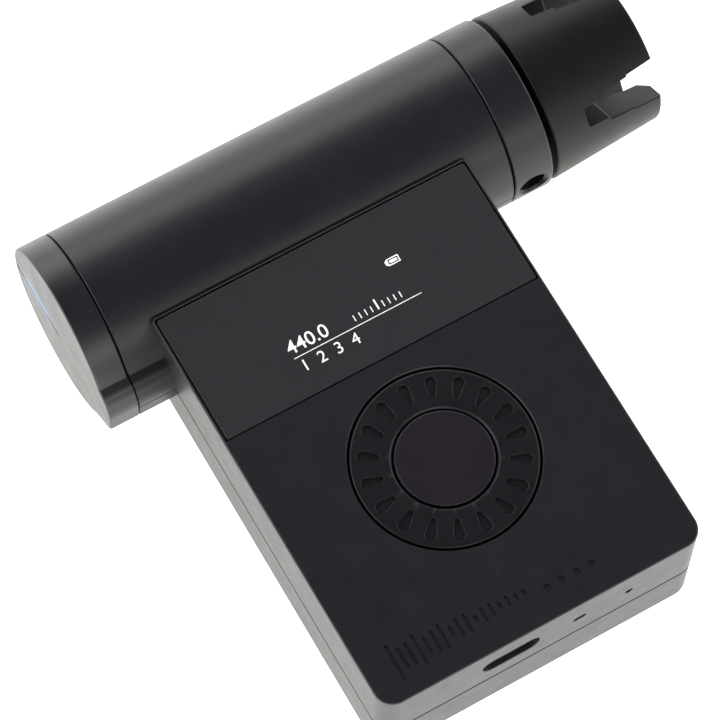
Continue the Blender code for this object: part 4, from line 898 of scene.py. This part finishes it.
# ------------------------------------------------------------------ end cap
def cap(looks):
    end = CASE_X - SEAM_GAP
    spigot = BARREL_INSIDE - FIT_GAP
    inside = spigot - 1.2 * MM
    profile = [(CAP_X, 0)]
    profile += [(CAP_X + down, BARREL_RADIUS - inset) for inset, down in quarter_round(0.35 * MM, 5)]
    profile += [
        (end - RIM_ROUND, BARREL_RADIUS), (end, BARREL_RADIUS - RIM_ROUND), (end, spigot),
        (CAP_HIGH.x, spigot),
        (CAP_HIGH.x, inside), (CAP_X + CAP_WALL, inside), (CAP_X + CAP_WALL, 0),
    ]
    piece = turned("cap", "X", AXIS, profile)
    outline = lug_outline()
    middle = Vector((AXIS_Y - BARREL_RADIUS + 1.0 * MM, AXIS_Z + (LUG_TOP + LUG_BOTTOM) / 2))

    def shrunk(inset):
        return [tuple(middle + (Vector(point) - middle) * (1 - inset / (4.5 * MM))) for point in outline]

    sections = [(CAP_X + down, shrunk(inset)) for inset, down in quarter_round(0.35 * MM, 5)]
    sections.append((end, outline))
    fuse(piece, loft("lug", "X", sections))
    half = SLIT_WIDTH / 2
    slit = stadium_slot(AXIS_Y, AXIS_Y + SLIT_LENGTH, SEAM_Z, half)
    cut(piece, prism("slit", "X", CAP_X - PAST, CAP_X + SLIT_DEPTH, slit))
    half = GUIDE_THICKNESS / 2 + FIT_GAP
    cut(piece, block(
        "channel", (CAP_X + SLIT_DEPTH - 0.25 * MM, AXIS_Y, SEAM_Z - half),
        (CAP_X + CAP_WALL + MM, AXIS_Y + inside - MM, SEAM_Z + half),
    ))
    return dress(piece, looks["cap"], "housing", "end_cap")


def stadium_slot(low_y, high_y, z, half):
    return stadium(((low_y + high_y) / 2, z), high_y - low_y, 2 * half, 6)


def guide(looks):
    """Frosted bar behind the slit."""
    low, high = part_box("light_guide")
    middle_z = (low.z + high.z) / 2
    half = (high.z - low.z) / 2
    bar = prism("guide", "X", low.x, high.x, rounded(
        (low.y, middle_z - half), (high.y, middle_z + half), 0.2 * MM, 0.2 * MM, 4
    ))
    return dress(bar, looks["clear"], "housing", "light_guide")


# ------------------------------------------------------------------ collar and peg holder
def collar_ring(looks):
    start = CASE_END_X + SEAM_GAP
    spigot = BARREL_INSIDE - FIT_GAP
    profile = [
        (start - COLLAR_SPIGOT, spigot), (start, spigot), (start, BARREL_RADIUS - RIM_ROUND),
        (start + RIM_ROUND, BARREL_RADIUS),
    ]
    profile += [
        (COLLAR_END_X - down, BARREL_RADIUS - inset) for inset, down in reversed(quarter_round(0.45 * MM, 5))
    ]
    profile += [(COLLAR_END_X, COLLAR_INSIDE), (start - COLLAR_SPIGOT, COLLAR_INSIDE)]
    ring = turned("collar_ring", "X", AXIS, profile)
    outside = AXIS_Y - BARREL_RADIUS
    place = (COLLAR_HOLE_X, AXIS_Z)
    hole = circle(COLLAR_HOLE_RADIUS, HOLE_SIDES, place)
    wide = circle(COLLAR_HOLE_RADIUS + 0.5 * MM, HOLE_SIDES, place)
    cut(ring, flared("hole", "Y", hole, wide, outside, 0.6 * MM, AXIS_Y - COLLAR_INSIDE + PAST))
    return dress(ring, looks["case"], "housing", "collar")


def slot_outline():
    """Three steps, each a little wider outwards, mirrored about the slot's middle, with eased corners."""
    upper = []
    for back, inner_half, outer_half in SLOT_STEPS:
        start = upper[-1][0] if upper else HOLDER_END_X + PAST
        upper.append((start, outer_half))
        upper.append((HOLDER_END_X - back, inner_half))
    corners = upper + [(x, -width) for x, width in reversed(upper)]
    return soften(corners, 0.35 * MM, 4)


def holder_radius(x):
    along = (x - HOLDER_X) / (HOLDER_END_X - HOLDER_X)
    return HOLDER_BASE_RADIUS + (HOLDER_END_RADIUS - HOLDER_BASE_RADIUS) * along


def slot_bar():
    """A bar through the holder that widens where it meets the outside, so each slot edge is eased."""
    outline = slot_outline()
    count = len(outline)
    end = 2 * HOLDER_BASE_RADIUS
    rows = [[] for _ in range(6)]
    for x, width in outline:
        surface = math.sqrt(holder_radius(x) ** 2 - width ** 2)
        wide = width + math.copysign(4 * SLOT_EASE, width)
        heights = (end, surface + 3 * SLOT_EASE, surface - SLOT_EASE)
        for level, (height, across) in enumerate(zip(heights, (wide, wide, width))):
            rows[level].append((x, across, -height))
            rows[5 - level].append((x, across, height))
    faces = [list(range(count)), list(range(5 * count, 6 * count))]
    for level in range(5):
        for i in range(count):
            j = (i + 1) % count
            start = level * count
            corners = (start + i, start + j, start + count + j, start + count + i)
            faces += [[corners[0], corners[1], corners[2]], [corners[0], corners[2], corners[3]]]
    return solid("slot", [point for row in rows for point in row], faces)


def holder(looks):
    bottom_x = HOLDER_END_X - SOCKET_DEPTH
    bore_end = HOLDER_LOW.x + SHAFT_BORE_LENGTH
    rim = quarter_round(0.4 * MM, 5)
    profile = [
        (HOLDER_LOW.x, SHAFT_BORE), (HOLDER_LOW.x, HUB_RADIUS), (HOLDER_X, HUB_RADIUS),
        *[(HOLDER_X + down, HOLDER_BASE_RADIUS - inset) for inset, down in rim],
        *[(HOLDER_END_X - down, HOLDER_END_RADIUS - inset) for inset, down in reversed(rim)],
        (HOLDER_END_X, SOCKET_RADIUS + SOCKET_CHAMFER), (HOLDER_END_X - SOCKET_CHAMFER, SOCKET_RADIUS),
        (bottom_x, SOCKET_RADIUS), (bottom_x, 0), (bore_end, 0), (bore_end, SHAFT_BORE),
    ]
    piece = turned("holder", "X", AXIS, profile, 128)
    for turn in (SLOT_TURN, SLOT_TURN + math.pi / 2):
        bar = slot_bar()
        bar.data.transform(Matrix.Translation((0, AXIS_Y, AXIS_Z)) @ Matrix.Rotation(-turn, 4, "X"))
        cut(piece, bar)
    screw_hole = circle(1.8 * MM, HOLE_SIDES, (COLLAR_HOLE_X, AXIS_Z))
    cut(piece, prism("thread", "Y", AXIS_Y - HUB_RADIUS - PAST, AXIS_Y, screw_hole))
    return dress(piece, looks["barrel"], "peg_drive", "peg_holder", 40)


def grub_screw(looks):
    low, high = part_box("set_screw")
    place = (COLLAR_HOLE_X, AXIS_Z)
    profile = [
        (low.y, 0), (low.y, 1.25 * MM), (low.y + 0.25 * MM, 1.5 * MM), (high.y - 0.4 * MM, 1.5 * MM),
        (high.y, 1.1 * MM), (high.y, 0),
    ]
    piece = turned("grub_screw", "Y", place, profile, HOLE_SIDES)
    cut(piece, prism("key", "Y", low.y - PAST, low.y + 1.6 * MM, circle(0.85 * MM, 6, place)))
    return dress(piece, looks["screw"], "peg_drive", "set_screw")


# ------------------------------------------------------------------ sockets and screws
def usb_socket(looks):
    front, back = USB_LOW.y, USB_HIGH.y
    middle = (USB_X, USB_Z)
    shell = 0.32 * MM
    port = prism("usb_socket", "Y", front, back, stadium(middle, USB_WIDTH, USB_HEIGHT, 16))
    cut(port, prism("mouth", "Y", front - PAST, back - 0.8 * MM, stadium(
        middle, USB_WIDTH - 2 * shell, USB_HEIGHT - 2 * shell, 16
    )))
    dress(port, looks["socket"], "housing", "usb_c_port")
    half_x, half_z = 3.2 * MM, 0.35 * MM
    tongue = block("usb_tongue", (USB_X - half_x, front + 0.7 * MM, USB_Z - half_z),
                   (USB_X + half_x, back - 0.81 * MM, USB_Z + half_z))
    round_edges(tongue, 0.12 * MM, 3)
    dress(tongue, looks["chip"], "housing")
    for side in (-1, 1):
        for number in range(12):
            x = USB_X + (number - 5.5) * 0.5 * MM
            z = USB_Z + side * (half_z + 0.012 * MM)
            pad = block(
                f"usb_contact_{'low' if side < 0 else 'top'}_{number + 1}",
                (x - 0.12 * MM, front + 1.0 * MM, z - 0.01 * MM),
                (x + 0.12 * MM, back - 1.2 * MM, z + 0.01 * MM),
            )
            dress(pad, looks["gold"], "housing")


def case_screw_heads(looks):
    for number, place in enumerate(screw_places(), 1):
        low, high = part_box(f"case_screw_{number}")
        seat = low.z + SCREW_HEAD_HEIGHT
        profile = [
            (low.z, 0), (low.z, 1.2 * MM), (low.z + 0.18 * MM, 1.62 * MM), (low.z + 0.55 * MM, 1.85 * MM),
            (low.z + 0.8 * MM, 1.9 * MM), (seat, 1.9 * MM), (seat, 1.0 * MM), (high.z - 0.5 * MM, 1.0 * MM),
            (high.z, 0.4 * MM), (high.z, 0),
        ]
        piece = turned(f"cross_screw_{number}", "Z", place, profile, HOLE_SIDES)
        for arm, half in ((1.15 * MM, 0.28 * MM), (0.28 * MM, 1.15 * MM)):
            near, far = (place[0] - arm, place[1] - half), (place[0] + arm, place[1] + half)
            wide = rounded(near, far, 0.1 * MM, 0.1 * MM, 3)
            small = [
                (place[0] + (x - place[0]) * 0.45, place[1] + (y - place[1]) * 0.45) for x, y in wide
            ]
            cut(piece, loft("driver", "Z", [(low.z - MM, wide), (low.z, wide), (low.z + 0.95 * MM, small)]))
        dress(piece, looks["screw"], "housing", f"case_screw_{number}")


# ------------------------------------------------------------------ nodes that stay as the model has them
def finish_nodes(looks):
    """Give every carried-over node a material by its slot."""
    by_slot = {
        "case": "case", "panel": "panel", "dial": "dial", "holder": "barrel", "steel": "steel", "brass": "brass",
        "board": "board", "chip": "chip", "cell": "cell", "foam": "foam", "nylon": "nylon", "clear": "unlit",
    }
    for subpart in frame["record"]["subparts"]:
        node = frame["nodes"][subpart["node"]]
        material = looks[by_slot[subpart["material_slot"]]]
        node.data.materials.clear()
        node.data.materials.append(material)


# ------------------------------------------------------------------ stage, lights and camera
def floor():
    """A pale floor that glows, as a light table does, and lights the side walls from below."""
    reach = 1.6
    mesh = bpy.data.meshes.new("floor")
    corners = [(-reach, -reach, 0), (reach, -reach, 0), (reach, reach, 0), (-reach, reach, 0)]
    mesh.from_pydata(corners, [], [(0, 1, 2, 3)])
    piece = bpy.data.objects.new("floor", mesh)
    bpy.context.scene.collection.objects.link(piece)
    look = Look("floor_white")
    tone = look.blend(look.spread(look.noise(0.2), 0, 1), (0.86, 0.86, 0.87), (0.88, 0.88, 0.88))
    mesh.materials.append(look.put(
        Base_Color=tone, Roughness=0.7, Normal=look.bump(look.noise(0.004), 0.00005),
        Emission_Color=(1.0, 1.0, 0.94, 1.0), Emission_Strength=1.35,
    ))


def surround():
    """White near the horizon, dark overhead and dimmer on the near side, so level faces stay dark."""
    world = bpy.data.worlds.new("surround")
    bpy.context.scene.world = world
    world.use_nodes = True
    tree = world.node_tree
    place = tree.nodes.new("ShaderNodeTexCoord")
    parts = tree.nodes.new("ShaderNodeSeparateXYZ")
    ramp = tree.nodes.new("ShaderNodeValToRGB")
    tree.links.new(place.outputs["Generated"], parts.inputs["Vector"])
    tree.links.new(parts.outputs["Z"], ramp.inputs["Fac"])
    stops = ramp.color_ramp.elements
    stops[0].position, stops[0].color = 0.0, (1.0, 1.0, 1.0, 1)
    stops[1].position, stops[1].color = 0.80, (0.022, 0.022, 0.026, 1)
    middle = stops.new(0.50)
    middle.color = (0.80, 0.81, 0.83, 1)
    side = tree.nodes.new("ShaderNodeMapRange")
    for key, value in (("From Min", -0.7), ("From Max", 0.5), ("To Min", 0.45), ("To Max", 1.0)):
        side.inputs[key].default_value = value
    tree.links.new(parts.outputs["Y"], side.inputs["Value"])
    shade = tree.nodes.new("ShaderNodeVectorMath")
    shade.operation = "SCALE"
    tree.links.new(ramp.outputs["Color"], shade.inputs[0])
    tree.links.new(side.outputs["Result"], shade.inputs["Scale"])
    background = tree.nodes["Background"]
    tree.links.new(shade.outputs["Vector"], background.inputs["Color"])
    background.inputs["Strength"].default_value = 1.1


def softbox(name, azimuth, elevation, distance, size, watts):
    """A square area light that faces the object; azimuth 0 is towards +Y, 90 towards +X."""
    data = bpy.data.lights.new(name, "AREA")
    data.shape = "RECTANGLE"
    data.size, data.size_y = size
    data.energy = watts
    light = bpy.data.objects.new(name, data)
    turn, rise = math.radians(azimuth), math.radians(elevation)
    way = Vector((math.sin(turn) * math.cos(rise), math.cos(turn) * math.cos(rise), math.sin(rise)))
    light.location = way * distance
    light.rotation_euler = way.to_track_quat("Z", "Y").to_euler()
    bpy.context.scene.collection.objects.link(light)


def lights():
    softbox("left_box", -75, 24, 0.9, (0.9, 0.5), 2)
    softbox("right_box", 95, 26, 0.9, (0.9, 0.5), 2)
    softbox("back_box", 5, 30, 0.9, (1.0, 0.4), 2)
    softbox("front_box", 185, 24, 0.9, (1.0, 0.4), 2)


def camera():
    """Nearly overhead, a little to the left of the hand unit's lower end."""
    target = Vector((BODY_LEFT + 23.05 * MM, END_Y + 46.975 * MM, FACE_Z))
    distance, azimuth, elevation, roll = 0.5780, math.radians(-32.40), math.radians(68.03), math.radians(2.78)
    forward = Vector((
        -math.sin(azimuth) * math.cos(elevation), math.cos(azimuth) * math.cos(elevation),
        -math.sin(elevation),
    ))
    level = forward.cross(Vector((0, 0, 1))).normalized()
    upright = level.cross(forward)
    right = level * math.cos(roll) + upright * math.sin(roll)
    up = right.cross(forward)
    data = bpy.data.cameras.new("camera")
    data.lens = 202.84
    data.sensor_width = 36.0
    data.clip_end = 20.0
    piece = bpy.data.objects.new("camera", data)
    turn = Matrix((right, up, -forward)).transposed().to_4x4()
    piece.matrix_world = Matrix.Translation(target - forward * distance) @ turn
    bpy.context.scene.collection.objects.link(piece)
    bpy.context.scene.camera = piece


# ------------------------------------------------------------------ everything
def dress_tuner():
    looks = make_looks()
    finish_nodes(looks)
    front_cover(looks)
    back_cover(looks)
    display_panel(looks)
    display_signs(looks)
    dial(looks)
    button(looks)
    cap(looks)
    guide(looks)
    collar_ring(looks)
    holder(looks)
    grub_screw(looks)
    usb_socket(looks)
    case_screw_heads(looks)


bpy.context.scene.view_settings.view_transform = "Standard"
dress_tuner()
floor()
surround()
lights()
camera()
